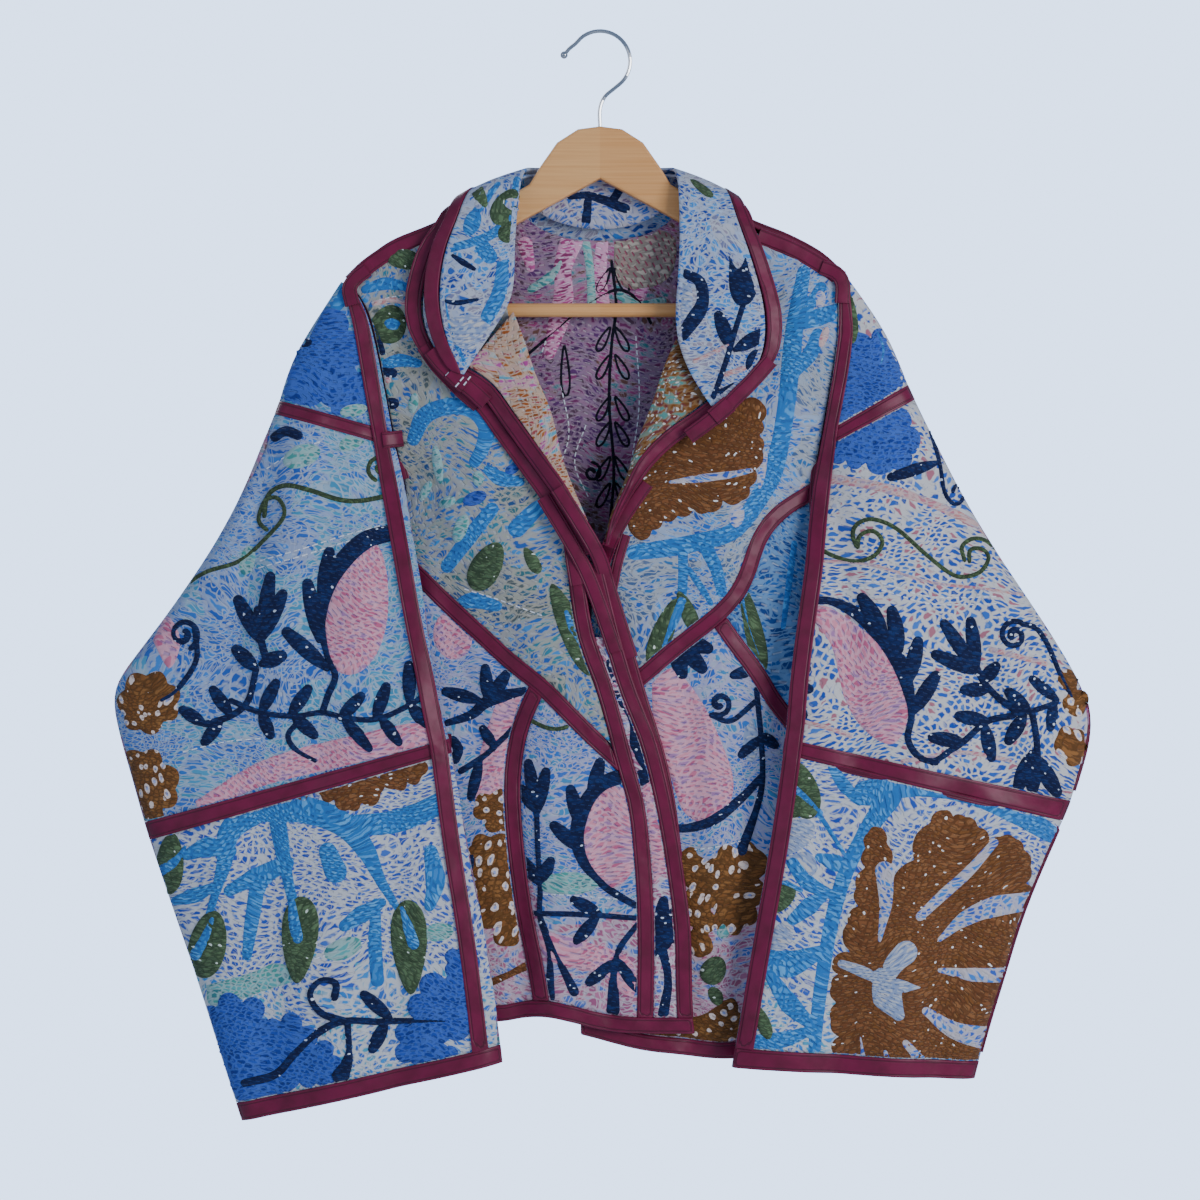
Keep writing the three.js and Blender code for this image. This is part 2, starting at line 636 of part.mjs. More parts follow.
function buildBack() {
  const top = drawn(SHOULDER_LEFT, 6)
    .concat(drawn(NECK_BACK, 9).slice(1), drawn(SHOULDER_RIGHT, 6).slice(1));
  addPanel(
    "back",
    patch(top, between(backHemUpper, sideLeft, sideRight, top.length),
      between(sideLeft, null, backHemUpper, 20), between(sideRight, null, backHemUpper, 20)),
    backFace,
    LINING_PLUM,
  );
  addBinding("back_hem_binding", between(backHemUpper, sideLeft, sideRight, 20),
    between(backHem, sideLeft, sideRight, 20), backFace);
}

// Shoulder seams: a bound strip over the meeting edges of front and back
function buildShoulder(name, shoulder) {
  const rows = [-SHOULDER_REACH, 0, SHOULDER_REACH];
  const height = (lift) => rows.map((y) => drawn(shoulder, 8)
    .map((p) => new THREE.Vector3(p.x, y, p.z + lift - (y / SHOULDER_REACH) ** 2)));
  add(name, wall(height(SHOULDER_TOP), height(SHOULDER_TOP - SHOULDER_THICKNESS)), SATIN_MAROON);
}

// A lapel turned out over its front: cloth from the fold, with a bound outer edge
function buildLapel(name, fold, edge, { faceAt, level, bulge }, finish) {
  const count = 15;
  const folded = drawn(fold, count);
  const outerEdge = drawn(edge, count);
  const boundShare = folded.map((p, k) => {
    const width = Math.hypot(p.x - outerEdge[k].x, p.z - outerEdge[k].z);
    return Math.max(1 - BINDING_WIDTH / width, LEAST_CLOTH);
  });
  const pointAt = (k, share) => {
    const x = mix(folded[k].x, outerEdge[k].x, share);
    const z = mix(folded[k].z, outerEdge[k].z, share);
    const ends = smooth((count - k) / 5) * smooth(k / 4);
    const y = faceAt(x, z) - level - bulge * Math.sin(Math.PI * share) * ends;
    return new THREE.Vector3(x, y, z);
  };
  const gridOf = (shares, lift) => folded.map((_, k) => shares(k).map((share) => {
    const p = pointAt(k, share);
    return p.setY(p.y + lift);
  }));
  const inner = (k) => [0, 0.3, 0.65, 0.97].map((share) => share * boundShare[k]);
  const bound = (k) => [boundShare[k] + 0.01, (1 + boundShare[k]) / 2, 1];
  add(name, wall(gridOf(inner, 0), gridOf(inner, CLOTH)), finish);
  const edging = wall(gridOf(bound, -BINDING_PROUD), gridOf(bound, CLOTH + BINDING_PROUD));
  add(`${name}_binding`, edging, SATIN_MAROON);
}

// Collar leaves: a surface between the roll and the outer edge, offset along its own normal
function leafPoint(rows, place, share) {
  const row = rowAt(rows, place);
  const roll = new THREE.Vector3(row.rollX, row.rollY, row.rollZ);
  const edge = new THREE.Vector3(row.edgeX, row.edgeY, row.edgeZ);
  const out = new THREE.Vector3(roll.x * 0.4, roll.y, 12 - Math.abs(roll.y) * 0.2).normalize();
  return roll.lerp(edge, share).addScaledVector(out, row.bulge * Math.sin(Math.PI * share));
}

function leafNormal(rows, place, share) {
  const step = 0.01;
  const along = leafPoint(rows, place + step, share).sub(leafPoint(rows, place - step, share));
  const across = leafPoint(rows, place, share + step).sub(leafPoint(rows, place, share - step));
  return along.cross(across).normalize();
}

function leafGrid(rows, shares, lift) {
  const sections = (rows.length - 1) * 1.5;
  return Array.from({ length: sections + 1 }, (_, k) => {
    const place = Math.min(Math.max(k / 1.5, 0.02), rows.length - 1.02);
    const row = rowAt(rows, place);
    const width = Math.hypot(row.rollX - row.edgeX, row.rollY - row.edgeY, row.rollZ - row.edgeZ);
    const bound = Math.max(1 - BINDING_WIDTH / width, LEAST_CLOTH);
    return shares(bound).map((share) => leafPoint(rows, place, share)
      .addScaledVector(leafNormal(rows, place, share), lift));
  });
}

function buildLeaf(name, rows, finish) {
  const cloth = (bound) => [0, 0.3, 0.65, 0.965].map((share) => share * bound);
  const edge = (bound) => [bound, 1];
  add(name, wall(leafGrid(rows, cloth, 0), leafGrid(rows, cloth, -CLOTH)), finish);
  const edging = wall(leafGrid(rows, edge, BINDING_PROUD), leafGrid(rows, edge, -CLOTH - BINDING_PROUD));
  add(`${name}_binding`, edging, SATIN_MAROON);
}

// Sleeve surface: u runs from the outer edge to the inner one, v is the row, face is -1 in front
function sleevePoint(sleeve, u, v, face) {
  const row = rowAt(sleeve.rows, v);
  const crown = Math.max(1 - Math.abs(2 * u - 1) ** SLEEVE_ROUNDNESS, 0) ** (1 / SLEEVE_ROUNDNESS);
  const gap = u > 0.5 ? Math.max(row.gap, 0) : 0;
  const depth = Math.sqrt(Math.max(row.depth ** 2 - gap ** 2, 0) * crown ** 2 + gap ** 2);
  const fold = foldHeight(SLEEVE_FOLDS, u, v, ["fromU", "fromV", "toU", "toV"]) * crown;
  return new THREE.Vector3(
    mix(row.outerX, row.innerX, u),
    mix(row.outerY, row.innerY, u) + face * (depth + HALF_GAP + fold * (face < 0 ? 1 : 0.5)),
    mix(row.outerZ, row.innerZ, u),
  );
}

function sleeveNormal(sleeve, u, v, face) {
  const step = 0.004;
  const [u0, u1] = [Math.max(u - step, 0), Math.min(u + step, 1)];
  const along = sleevePoint(sleeve, u1, v, face).sub(sleevePoint(sleeve, u0, v, face));
  const down = sleevePoint(sleeve, u, v + step * 5, face).sub(sleevePoint(sleeve, u, v - step * 5, face));
  const normal = along.cross(down).normalize().multiplyScalar(-face * sleeve.side);
  const open = smooth(Math.max(rowAt(sleeve.rows, v).gap, 0) / 8);
  if (u === 0 || u === 1) {
    normal.y *= u === 0 ? 0 : open;
    normal.normalize();
  }
  return normal;
}

const SLEEVE_SPLITS = [0, 0.03, 0.1, 0.22, 0.38, 0.55, 0.7, 0.82];

// Places across the front of a sleeve, with a pair of columns under the front binding
function frontColumns(sleeve, v) {
  const row = rowAt(sleeve.rows, v);
  const width = Math.hypot(row.outerX - row.innerX, row.outerZ - row.innerZ);
  const centre = 1 - row.seam / width;
  const reach = Math.min(half, row.seam - 1.2) / width;
  const last = [centre - reach, centre + reach, 1];
  return [...SLEEVE_SPLITS.map((u) => u * Math.min((centre - reach - 0.04) / 0.82, 1)), ...last];
}

const backColumns = () => [0, 0.03, 0.1, 0.22, 0.38, 0.5, 0.62, 0.78, 0.9, 0.97, 1];

function sleeveRow(sleeve, columns, v, face, lift) {
  return columns.map((u) => sleevePoint(sleeve, u, v, face)
    .addScaledVector(sleeveNormal(sleeve, u, v, face), lift));
}

function rowsBetween(from, to, count) {
  return Array.from({ length: count }, (_, k) => mix(from, to, k / (count - 1)));
}

// Share of a table row that a length along the sleeve covers near that row
function rowShare(sleeve, v, length) {
  const here = sleevePoint(sleeve, 0.5, v, -1);
  const next = sleevePoint(sleeve, 0.5, v > 1 ? v - 0.2 : v + 0.2, -1);
  return (0.2 * length) / here.distanceTo(next);
}

function buildSleeve(sleeve, finishes) {
  const last = sleeve.rows.length - 1;
  const [upper, lower] = sleeve.seams;
  const reach = (v) => rowShare(sleeve, v, half);
  const gap = (v) => rowShare(sleeve, v, SEAM_GAP);
  const cuff = last - rowShare(sleeve, last, BINDING_WIDTH);
  const bands = [
    { part: "cap", from: 0, to: upper - reach(upper) - gap(upper), count: 5 },
    { part: "upper", from: upper + reach(upper), to: lower - reach(lower) - gap(lower), count: 10 },
    { part: "lower", from: lower + reach(lower), to: cuff - gap(last), count: 7 },
  ];
  const faces = [
    { word: "front", face: -1, columnsAt: (v) => frontColumns(sleeve, v) },
    { word: "back", face: 1, columnsAt: backColumns },
  ];
  bands.forEach((band, k) => faces.forEach(({ word, face, columnsAt }) => {
    const rows = rowsBetween(band.from, band.to, band.count);
    const grid = (lift) => rows.map((v) => sleeveRow(sleeve, columnsAt(v), v, face, lift));
    add(`${sleeve.name}_${band.part}_${word}`, wall(grid(0), grid(-CLOTH)), finishes[k]);
  }));

  const rings = [
    { part: "upper_seam", from: upper - reach(upper), to: upper + reach(upper) - gap(upper) },
    { part: "lower_seam", from: lower - reach(lower), to: lower + reach(lower) - gap(lower) },
    { part: "cuff", from: cuff, to: last },
  ];
  rings.forEach((ring) => {
    const around = (v, lift) => {
      const front = sleeveRow(sleeve, frontColumns(sleeve, v), v, -1, lift);
      const back = sleeveRow(sleeve, backColumns(), v, 1, lift).reverse();
      return ring.part === "upper_seam" ? { front, back } : { front: [...front, ...back.slice(1, -1)] };
    };
    const grid = (key, lift) => [ring.from, ring.to].map((v) => around(v, lift)[key]);
    const band = (key, closed) => wall(grid(key, 0), grid(key, -CLOTH - BINDING_PROUD), closed);
    if (ring.part === "upper_seam") {
      add(`${sleeve.name}_upper_seam_front`, band("front", false), SATIN_MAROON);
      add(`${sleeve.name}_upper_seam_back`, band("back", false), SATIN_MAROON);
      return;
    }
    add(`${sleeve.name}_${ring.part}_binding`, band("front", true), SATIN_MAROON);
  });

  // Long binding down the front: the wall's own points, moved out
  const pieces = [...bands, ...rings.slice(0, 2)];
  const places = pieces.flatMap((piece) => rowsBetween(piece.from, piece.to, piece.count ?? 2));
  const rows = places.sort((a, b) => a - b).filter((v) => v < cuff);
  const columns = (v) => frontColumns(sleeve, v).slice(-3, -1);
  const strip = (lift) => rows.map((v) => sleeveRow(sleeve, columns(v), v, -1, lift));
  add(`${sleeve.name}_front_binding`, wall(strip(2.0), strip(0.3)), SATIN_MAROON);
}

// Hanger: shaped wooden arms with a square foot at each end for the bar
function buildHanger() {
  const crown = [[0, WOOD_TOP], [19, -83.5], [37, -95], [51, -115], [61, -131]];
  const arm = [[184, -202], [184, -248], [BAR_END, -248], [BAR_END, -226], [140, -206], [70, -164]];
  const mirrored = (list) => list.map(([x, z]) => new THREE.Vector2(-x, z)).reverse();
  const right = [...crown, ...arm].map(([x, z]) => new THREE.Vector2(x, z));
  const outline = [...right, new THREE.Vector2(0, -126), ...mirrored([...crown.slice(1), ...arm])];
  const board = new THREE.ExtrudeGeometry(new THREE.Shape(outline), {
    depth: WOOD_THICKNESS - 2 * WOOD_BEVEL,
    bevelThickness: WOOD_BEVEL,
    bevelSize: WOOD_BEVEL,
    bevelOffset: -WOOD_BEVEL,
    bevelSegments: 2,
  });
  board.translate(0, 0, WOOD_BEVEL - WOOD_THICKNESS / 2);
  board.rotateX(Math.PI / 2);
  add("hanger_wood", board, OILED_WOOD);

  const bar = new THREE.CylinderGeometry(BAR_DIAMETER / 2, BAR_DIAMETER / 2, 2 * (BAR_END - 0.3), 16);
  bar.rotateZ(Math.PI / 2);
  bar.translate(0, 0, BAR_HEIGHT);
  add("hanger_bar", bar, OILED_WOOD);
}

function buildHook() {
  const centreZ = HOOK_WIRE / 2 - HOOK_RADIUS;
  const loop = Array.from({ length: 11 }, (_, k) => {
    const angle = THREE.MathUtils.degToRad(mix(145, -40, k / 10));
    return new THREE.Vector3(HOOK_RADIUS * Math.cos(angle), 0, centreZ + HOOK_RADIUS * Math.sin(angle));
  });
  const points = [
    new THREE.Vector3(-31, 0, -19),
    new THREE.Vector3(-26.5, 0, -13.5),
    ...loop,
    new THREE.Vector3(12, 0, -48),
    new THREE.Vector3(4, 0, -55),
    new THREE.Vector3(0, 0, -65),
    new THREE.Vector3(0, 0, WOOD_TOP + 0.3),
  ];
  const section = new THREE.Shape().absarc(0, 0, HOOK_WIRE / 2, 0, Math.PI * 2);
  const wire = new THREE.ExtrudeGeometry(section, {
    extrudePath: new THREE.CatmullRomCurve3(points, false, "centripetal"),
    steps: 44,
    curveSegments: 4,
  });
  add("hanger_hook", wire, CHROME_WIRE);
}

buildBack();
buildLeftFront();
buildLeftBindings();
buildRightFront();
buildRightBindings();
buildShoulder("left_shoulder_binding", SHOULDER_LEFT);
buildShoulder("right_shoulder_binding", SHOULDER_RIGHT);
const underLapelEdge = beside(drawn(LAPEL_LEFT_EDGE, 12), -UNDER_LAPEL_REACH);
const underShape = { faceAt: leftFrontFace, level: UNDER_LEVEL, bulge: 0 };
const leftShape = { faceAt: leftFrontFace, level: UPPER_LEVEL, bulge: LAPEL_BULGE };
const rightShape = { faceAt: rightFrontFace, level: UPPER_LEVEL, bulge: LAPEL_BULGE };
buildLapel("left_lapel_under", LAPEL_LEFT_FOLD, underLapelEdge, underShape, QUILT_BLUE);
buildLapel("left_lapel", LAPEL_LEFT_FOLD, LAPEL_LEFT_EDGE, leftShape, LAPEL_RUST);
buildLapel("right_lapel", LAPEL_RIGHT_FOLD, LAPEL_RIGHT_EDGE, rightShape, LAPEL_RUST);
buildLeaf("collar_under", UNDER_COLLAR, QUILT_BLUE);
buildLeaf("collar", COLLAR, QUILT_BLUE);
add("collar_stand", wall(
  leafGrid(COLLAR_STAND, () => [0, 0.5, 1], 0),
  leafGrid(COLLAR_STAND, () => [0, 0.5, 1], -CLOTH),
), LINING_PLUM);
buildSleeve(LEFT_SLEEVE, [QUILT_BLUE, QUILT_CREAM, QUILT_BLUE]);
buildSleeve(RIGHT_SLEEVE, [QUILT_BLUE, QUILT_CREAM, QUILT_BLUE]);
buildHanger();
buildHook();

export default jacket;
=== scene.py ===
import math

import bmesh
import bpy
import numpy as np
from mathutils import Matrix, Vector
from mathutils.bvhtree import BVHTree
from mathutils.geometry import delaunay_2d_cdt
from mathutils.kdtree import KDTree


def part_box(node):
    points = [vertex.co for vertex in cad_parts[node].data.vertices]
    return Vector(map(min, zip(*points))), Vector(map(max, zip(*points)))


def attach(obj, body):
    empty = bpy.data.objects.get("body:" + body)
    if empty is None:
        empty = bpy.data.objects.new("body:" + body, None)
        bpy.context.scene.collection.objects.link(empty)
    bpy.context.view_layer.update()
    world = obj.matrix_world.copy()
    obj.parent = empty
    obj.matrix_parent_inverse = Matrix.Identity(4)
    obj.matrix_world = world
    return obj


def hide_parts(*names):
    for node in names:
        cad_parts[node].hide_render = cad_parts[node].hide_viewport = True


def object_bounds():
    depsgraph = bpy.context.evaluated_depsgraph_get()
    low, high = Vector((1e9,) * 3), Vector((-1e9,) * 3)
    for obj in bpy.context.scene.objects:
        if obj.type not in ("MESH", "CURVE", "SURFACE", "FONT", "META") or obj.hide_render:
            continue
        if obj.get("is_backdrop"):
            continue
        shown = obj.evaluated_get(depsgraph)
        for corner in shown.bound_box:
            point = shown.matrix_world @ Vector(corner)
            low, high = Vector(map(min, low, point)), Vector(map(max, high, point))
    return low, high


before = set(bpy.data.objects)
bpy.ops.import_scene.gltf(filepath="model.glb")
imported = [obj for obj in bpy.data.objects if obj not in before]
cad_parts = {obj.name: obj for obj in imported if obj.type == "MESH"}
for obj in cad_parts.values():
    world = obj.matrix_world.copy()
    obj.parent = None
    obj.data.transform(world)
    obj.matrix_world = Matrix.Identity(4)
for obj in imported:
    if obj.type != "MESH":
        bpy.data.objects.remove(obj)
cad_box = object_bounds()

bl_info = {
    "name": "Kantha jacket",
    "version": (1, 0, 0),
    "blender": (4, 5, 0),
    "location": "3D View > Sidebar > Jacket",
    "description": "A hand-quilted patchwork jacket with satin bindings on a wooden hanger",
    "category": "Object",
}

MM = 0.001
FRONT = -1
REAR = 1
# The photograph's frame: 1.02 m wide at the depth of the sleeves.
FRAME_WIDTH = 1.02
FRAME_MIDDLE = -0.48875
SLEEVE_DEPTH = -0.04
LENS = 100.0
SENSOR = 36.0

# What the making fills: the materials by name, the pieces by name, each piece's surface and outline,
# and the names of what is sewn to each panel.
cloths = {}
threads = {}
made = {}
surfaces = {}
outlines = {}
homes = {}


# Small helpers

def linear(colour):
    """An sRGB hex colour as linear red, green, blue and alpha."""
    parts = [int(colour[i:i + 2], 16) / 255 for i in (1, 3, 5)]
    return tuple(c / 12.92 if c <= 0.04045 else ((c + 0.055) / 1.055) ** 2.4 for c in parts) + (1.0,)


def colour_of(values):
    """A colour property with an alpha of 1."""
    return (*values, 1.0)


def add(tree, kind, inputs=None, stops=(), **settings):
    """Adds one node. An input is a value, or another node's output to link."""
    node = tree.nodes.new("ShaderNode" + kind)
    for name, value in settings.items():
        setattr(node, name, value)
    for name, value in (inputs or {}).items():
        if isinstance(value, bpy.types.NodeSocket):
            tree.links.new(value, node.inputs[name])
        else:
            node.inputs[name].default_value = value
    if stops:
        scale = node.color_ramp.elements
        while len(scale) < len(stops):
            scale.new(1.0)
        for element, (position, colour) in zip(scale, stops):
            element.position = position
            element.color = colour
    return node


def new_material(name, roughness, specular, sheen=0.0, metallic=0.0, coat=0.0):
    """A material with one Principled shader, and that shader's node."""
    material = bpy.data.materials.new(name)
    material.use_nodes = True
    tree = material.node_tree
    tree.nodes.clear()
    surface = add(tree, "BsdfPrincipled", {
        "Roughness": roughness, "Specular IOR Level": specular, "Sheen Weight": sheen,
        "Metallic": metallic, "Coat Weight": coat,
    })
    add(tree, "OutputMaterial", {"Surface": surface.outputs[0]})
    return material, tree, surface


# Materials

# The running stitches are laid out as bricks on a grid of this many to a metre.
STITCH_GRID = 40
STITCH_GRID_MM = STITCH_GRID * MM
# The gap between two rows of stitches and the length of a stitch, as shares of a row's height.
STITCH_GAP = 0.45
STITCH_LENGTH = 1.5
# The heights in the materials are drawn within this many mm.
RELIEF_DEPTH = 1.2


def quilted(name, colours, other=(), fade=None, length=9.0, width=4.2, turn=80.0, swirl=14.0,
            line="#C9C6C4", line_share=0.8, line_width=0.2, squiggle=0.0,
            thread="#D8DCE2", thread_share=0.35, fleck=None, fleck_share=0.12, spots=None,
            row=5.5, relief=0.8, patch=42.0):
    """Hand-quilted cotton: short coloured marks between pale lines, with rows of running stitch
    that pull the cloth into small puckers, so it looks matt, soft and busy. Sizes are in mm.
    The real stitches are about 3 mm by 0.6 mm and are drawn half as large again to show."""
    material, tree, surface = new_material(name, 0.88, 0.22, sheen=0.12)
    place = add(tree, "TexCoord").outputs["Object"]
    # The rows of stitching wander, as they do when sewn by hand.
    drift = add(tree, "TexNoise", {"Vector": place, "Scale": 1 / (85 * MM), "Detail": 1.0})
    drift = add(tree, "VectorMath", {0: drift.outputs["Color"], 1: (0.5, 0.5, 0.5)},
                operation="SUBTRACT")
    drift = add(tree, "VectorMath", {0: drift.outputs[0], "Scale": 5 * swirl * MM}, operation="SCALE")
    drifted = add(tree, "VectorMath", {0: place, 1: drift.outputs[0]}).outputs[0]
    wobble = add(tree, "TexNoise", {"Vector": place, "Scale": 1 / (6 * MM), "Detail": 1.0})
    wobble = add(tree, "VectorMath", {0: wobble.outputs["Color"], 1: (0.5, 0.5, 0.5)},
                 operation="SUBTRACT")
    wobble = add(tree, "VectorMath", {0: wobble.outputs[0], "Scale": 3.5 * MM}, operation="SCALE")
    wandered = add(tree, "VectorMath", {0: drifted, 1: wobble.outputs[0]}).outputs[0]
    marks = add(tree, "Mapping", {
        "Vector": wandered, "Rotation": (0, math.radians(turn), 0),
        "Scale": (1 / (length * MM), 12.0, 1 / (width * MM)),
    }).outputs[0]
    cells = add(tree, "TexVoronoi", {"Vector": marks, "Scale": 1.0, "Randomness": 0.8})
    gaps = add(tree, "TexVoronoi", {"Vector": marks, "Scale": 1.0, "Randomness": 0.8},
               feature="DISTANCE_TO_EDGE")
    chance = add(tree, "SeparateColor", {0: cells.outputs["Color"]})
    first = add(tree, "ValToRGB", {0: chance.outputs[0]},
                stops=[(i / len(colours), linear(c)) for i, c in enumerate(colours)])
    first.color_ramp.interpolation = "CONSTANT"
    colour = first.outputs[0]
    if other:
        # A second set of colours takes whole patches, and more of them down or up the panel.
        second = add(tree, "ValToRGB", {0: chance.outputs[0]},
                     stops=[(i / len(other), linear(c)) for i, c in enumerate(other)])
        second.color_ramp.interpolation = "CONSTANT"
        areas = add(tree, "TexVoronoi", {"Vector": drifted, "Scale": 1 / (patch * MM)})
        share = add(tree, "SeparateColor", {0: areas.outputs["Color"]}).outputs[1]
        if fade:
            height = add(tree, "SeparateXYZ", {0: place}).outputs[2]
            height = add(tree, "MapRange", {0: height, 1: fade[0] * MM, 2: fade[1] * MM,
                                            3: -0.5, 4: 0.5})
            share = add(tree, "Math", {0: share, 1: height.outputs[0]}, operation="ADD").outputs[0]
        chosen = add(tree, "Math", {0: share, 1: 0.5}, operation="GREATER_THAN").outputs[0]
        colour = add(tree, "Mix", {0: chosen, 6: colour, 7: second.outputs[0]}, data_type="RGBA").outputs[2]
    pale = add(tree, "MapRange", {0: gaps.outputs["Distance"], 1: 0.55 * line_width, 2: line_width,
                                  3: line_share, 4: 0.0}).outputs[0]
    if squiggle:
        # Thin lines that meander between the marks.
        meander = add(tree, "TexNoise", {"Vector": drifted, "Scale": 1 / (12 * MM), "Detail": 0.0})
        meander = add(tree, "Math", {0: meander.outputs[0], 1: 7.0}, operation="MULTIPLY")
        meander = add(tree, "Math", {0: meander.outputs[0], 1: 0.5}, operation="PINGPONG")
        meander = add(tree, "MapRange", {0: meander.outputs[0], 1: 0.07, 2: 0.13,
                                         3: squiggle, 4: 0.0})
        pale = add(tree, "Math", {0: pale, 1: meander.outputs[0]}, operation="MAXIMUM").outputs[0]
    colour = add(tree, "Mix", {0: pale, 6: colour, 7: linear(line)}, data_type="RGBA").outputs[2]
    if spots:
        size, ring, centre = spots
        dots = add(tree, "TexVoronoi", {"Vector": wandered, "Scale": 1 / (size * MM), "Randomness": 0.7})
        ringed = add(tree, "Math", {0: dots.outputs["Distance"], 1: 0.33}, operation="LESS_THAN").outputs[0]
        colour = add(tree, "Mix", {0: ringed, 6: colour, 7: linear(ring)}, data_type="RGBA").outputs[2]
        filled = add(tree, "Math", {0: dots.outputs["Distance"], 1: 0.16}, operation="LESS_THAN").outputs[0]
        colour = add(tree, "Mix", {0: filled, 6: colour, 7: linear(centre)}, data_type="RGBA").outputs[2]
    # Running stitches: a brick pattern whose wide joints leave only short threads.
    flat = add(tree, "SeparateXYZ", {0: drifted})
    flat = add(tree, "CombineXYZ", {0: flat.outputs[0], 1: flat.outputs[2]})
    flat = add(tree, "Mapping", {
        "Vector": flat.outputs[0], "Rotation": (0, 0, math.radians(90 - turn)),
        "Scale": (STITCH_GRID, STITCH_GRID, STITCH_GRID),
    })
    rows = add(tree, "TexBrick", {
        "Vector": flat.outputs[0], "Scale": 1.0, "Mortar Smooth": 0.35,
        "Mortar Size": STITCH_GAP * row * STITCH_GRID_MM,
        "Brick Width": STITCH_LENGTH * row * STITCH_GRID_MM,
        "Row Height": row * STITCH_GRID_MM,
    })
    dipped = add(tree, "Math", {0: 1.0, 1: rows.outputs["Fac"]}, operation="SUBTRACT").outputs[0]
    shown = add(tree, "Math", {0: dipped, 1: thread_share}, operation="MULTIPLY").outputs[0]
    colour = add(tree, "Mix", {0: shown, 6: colour, 7: linear(thread)}, data_type="RGBA").outputs[2]
    if fleck:
        bits = add(tree, "Mapping", {"Vector": wandered, "Rotation": (0, math.radians(35), 0),
                                     "Scale": (1 / (5.5 * MM), 30.0, 1 / (4 * MM))})
        bits = add(tree, "TexVoronoi", {"Vector": bits.outputs[0], "Scale": 1.0})
        near = add(tree, "Math", {0: bits.outputs["Distance"], 1: 0.24}, operation="LESS_THAN").outputs[0]
        lucky = add(tree, "SeparateColor", {0: bits.outputs["Color"]}).outputs[2]
        lucky = add(tree, "Math", {0: lucky, 1: fleck_share}, operation="LESS_THAN").outputs[0]
        both = add(tree, "Math", {0: near, 1: lucky}, operation="MULTIPLY").outputs[0]
        colour = add(tree, "Mix", {0: both, 6: colour, 7: linear(fleck)}, data_type="RGBA").outputs[2]
    # Threads lie in dips and the cloth swells between them.
    swell = add(tree, "Math", {0: cells.outputs["Distance"], 1: -0.55, 2: 0.6}, operation="MULTIPLY_ADD")
    height = add(tree, "Math", {0: rows.outputs["Fac"], 1: 0.7, 2: swell.outputs[0]},
                 operation="MULTIPLY_ADD")
    bump = add(tree, "Bump", {"Strength": relief, "Distance": RELIEF_DEPTH * MM,
                              "Height": height.outputs[0]})
    tree.links.new(colour, surface.inputs["Base Color"])
    tree.links.new(bump.outputs[0], surface.inputs["Normal"])
    return material


def satin(name, colour, shade):
    """Polyester satin bias binding, folded and pressed: a smooth, dark, slightly glossy band
    with small pulls across it and a stitched line near each edge."""
    material, tree, surface = new_material(name, 0.4, 0.35, sheen=0.06)
    place = add(tree, "TexCoord").outputs["Object"]
    pulls = add(tree, "TexNoise", {"Vector": place, "Scale": 1 / (16 * MM), "Detail": 2.0})
    # Where the pulls rise, the satin's colour turns toward its shade colour: painted shade along the small
    # wrinkles.
    tone = add(tree, "MapRange", {0: pulls.outputs[0], 1: 0.35, 2: 0.7, 3: 0.0, 4: 0.6}).outputs[0]
    tone = add(tree, "Mix", {0: tone, 6: colour, 7: shade}, data_type="RGBA").outputs[2]
    edge = add(tree, "Attribute", attribute_name="edge_mm").outputs["Fac"]
    off = add(tree, "Math", {0: edge, 1: 1.9}, operation="SUBTRACT")
    off = add(tree, "Math", {0: off.outputs[0]}, operation="ABSOLUTE").outputs[0]
    line = add(tree, "MapRange", {0: off, 1: 0.25, 2: 0.8, 3: 1.0, 4: 0.0}).outputs[0]
    dark = add(tree, "Math", {0: line, 1: 0.55}, operation="MULTIPLY").outputs[0]
    tone = add(tree, "Mix", {0: dark, 6: tone, 7: linear("#3A0A1E")}, data_type="RGBA").outputs[2]
    height = add(tree, "Math", {0: line, 1: -0.8, 2: pulls.outputs[0]}, operation="MULTIPLY_ADD")
    bump = add(tree, "Bump", {"Strength": 0.5, "Distance": RELIEF_DEPTH * MM, "Height": height.outputs[0]})
    tree.links.new(tone, surface.inputs["Base Color"])
    tree.links.new(bump.outputs[0], surface.inputs["Normal"])
    return material


def beech(name, light, dark, along):
    """Clear-coated beech: pale orange-tan with fine straight grain, a soft shine and, in the
    arms, a glued joint at the middle between a lighter half and a darker one."""
    material, tree, surface = new_material(name, 0.42, 0.4, coat=0.25)
    place = add(tree, "TexCoord").outputs["Object"]
    grain = add(tree, "Mapping", {"Vector": place, "Rotation": (0, math.radians(along), 0),
                                  "Scale": (1 / (90 * MM), 1 / (3 * MM), 1 / (2.2 * MM))})
    grain = add(tree, "TexNoise", {"Vector": grain.outputs[0], "Scale": 1.0, "Detail": 3.0}).outputs[0]
    side = add(tree, "SeparateXYZ", {0: place}).outputs[0]
    right = add(tree, "MapRange", {0: side, 1: -0.2 * MM, 2: 0.2 * MM, 3: 0.0, 4: 0.22}).outputs[0]
    mixed = add(tree, "MapRange", {0: grain, 1: 0.35, 2: 0.7, 3: 0.0, 4: 0.55}).outputs[0]
    mixed = add(tree, "Math", {0: mixed, 1: right}, operation="ADD").outputs[0]
    tone = add(tree, "Mix", {0: mixed, 6: light, 7: dark}, data_type="RGBA").outputs[2]
    bump = add(tree, "Bump", {"Strength": 0.1, "Distance": 0.2 * MM, "Height": grain})
    tree.links.new(tone, surface.inputs["Base Color"])
    tree.links.new(bump.outputs[0], surface.inputs["Normal"])
    return material


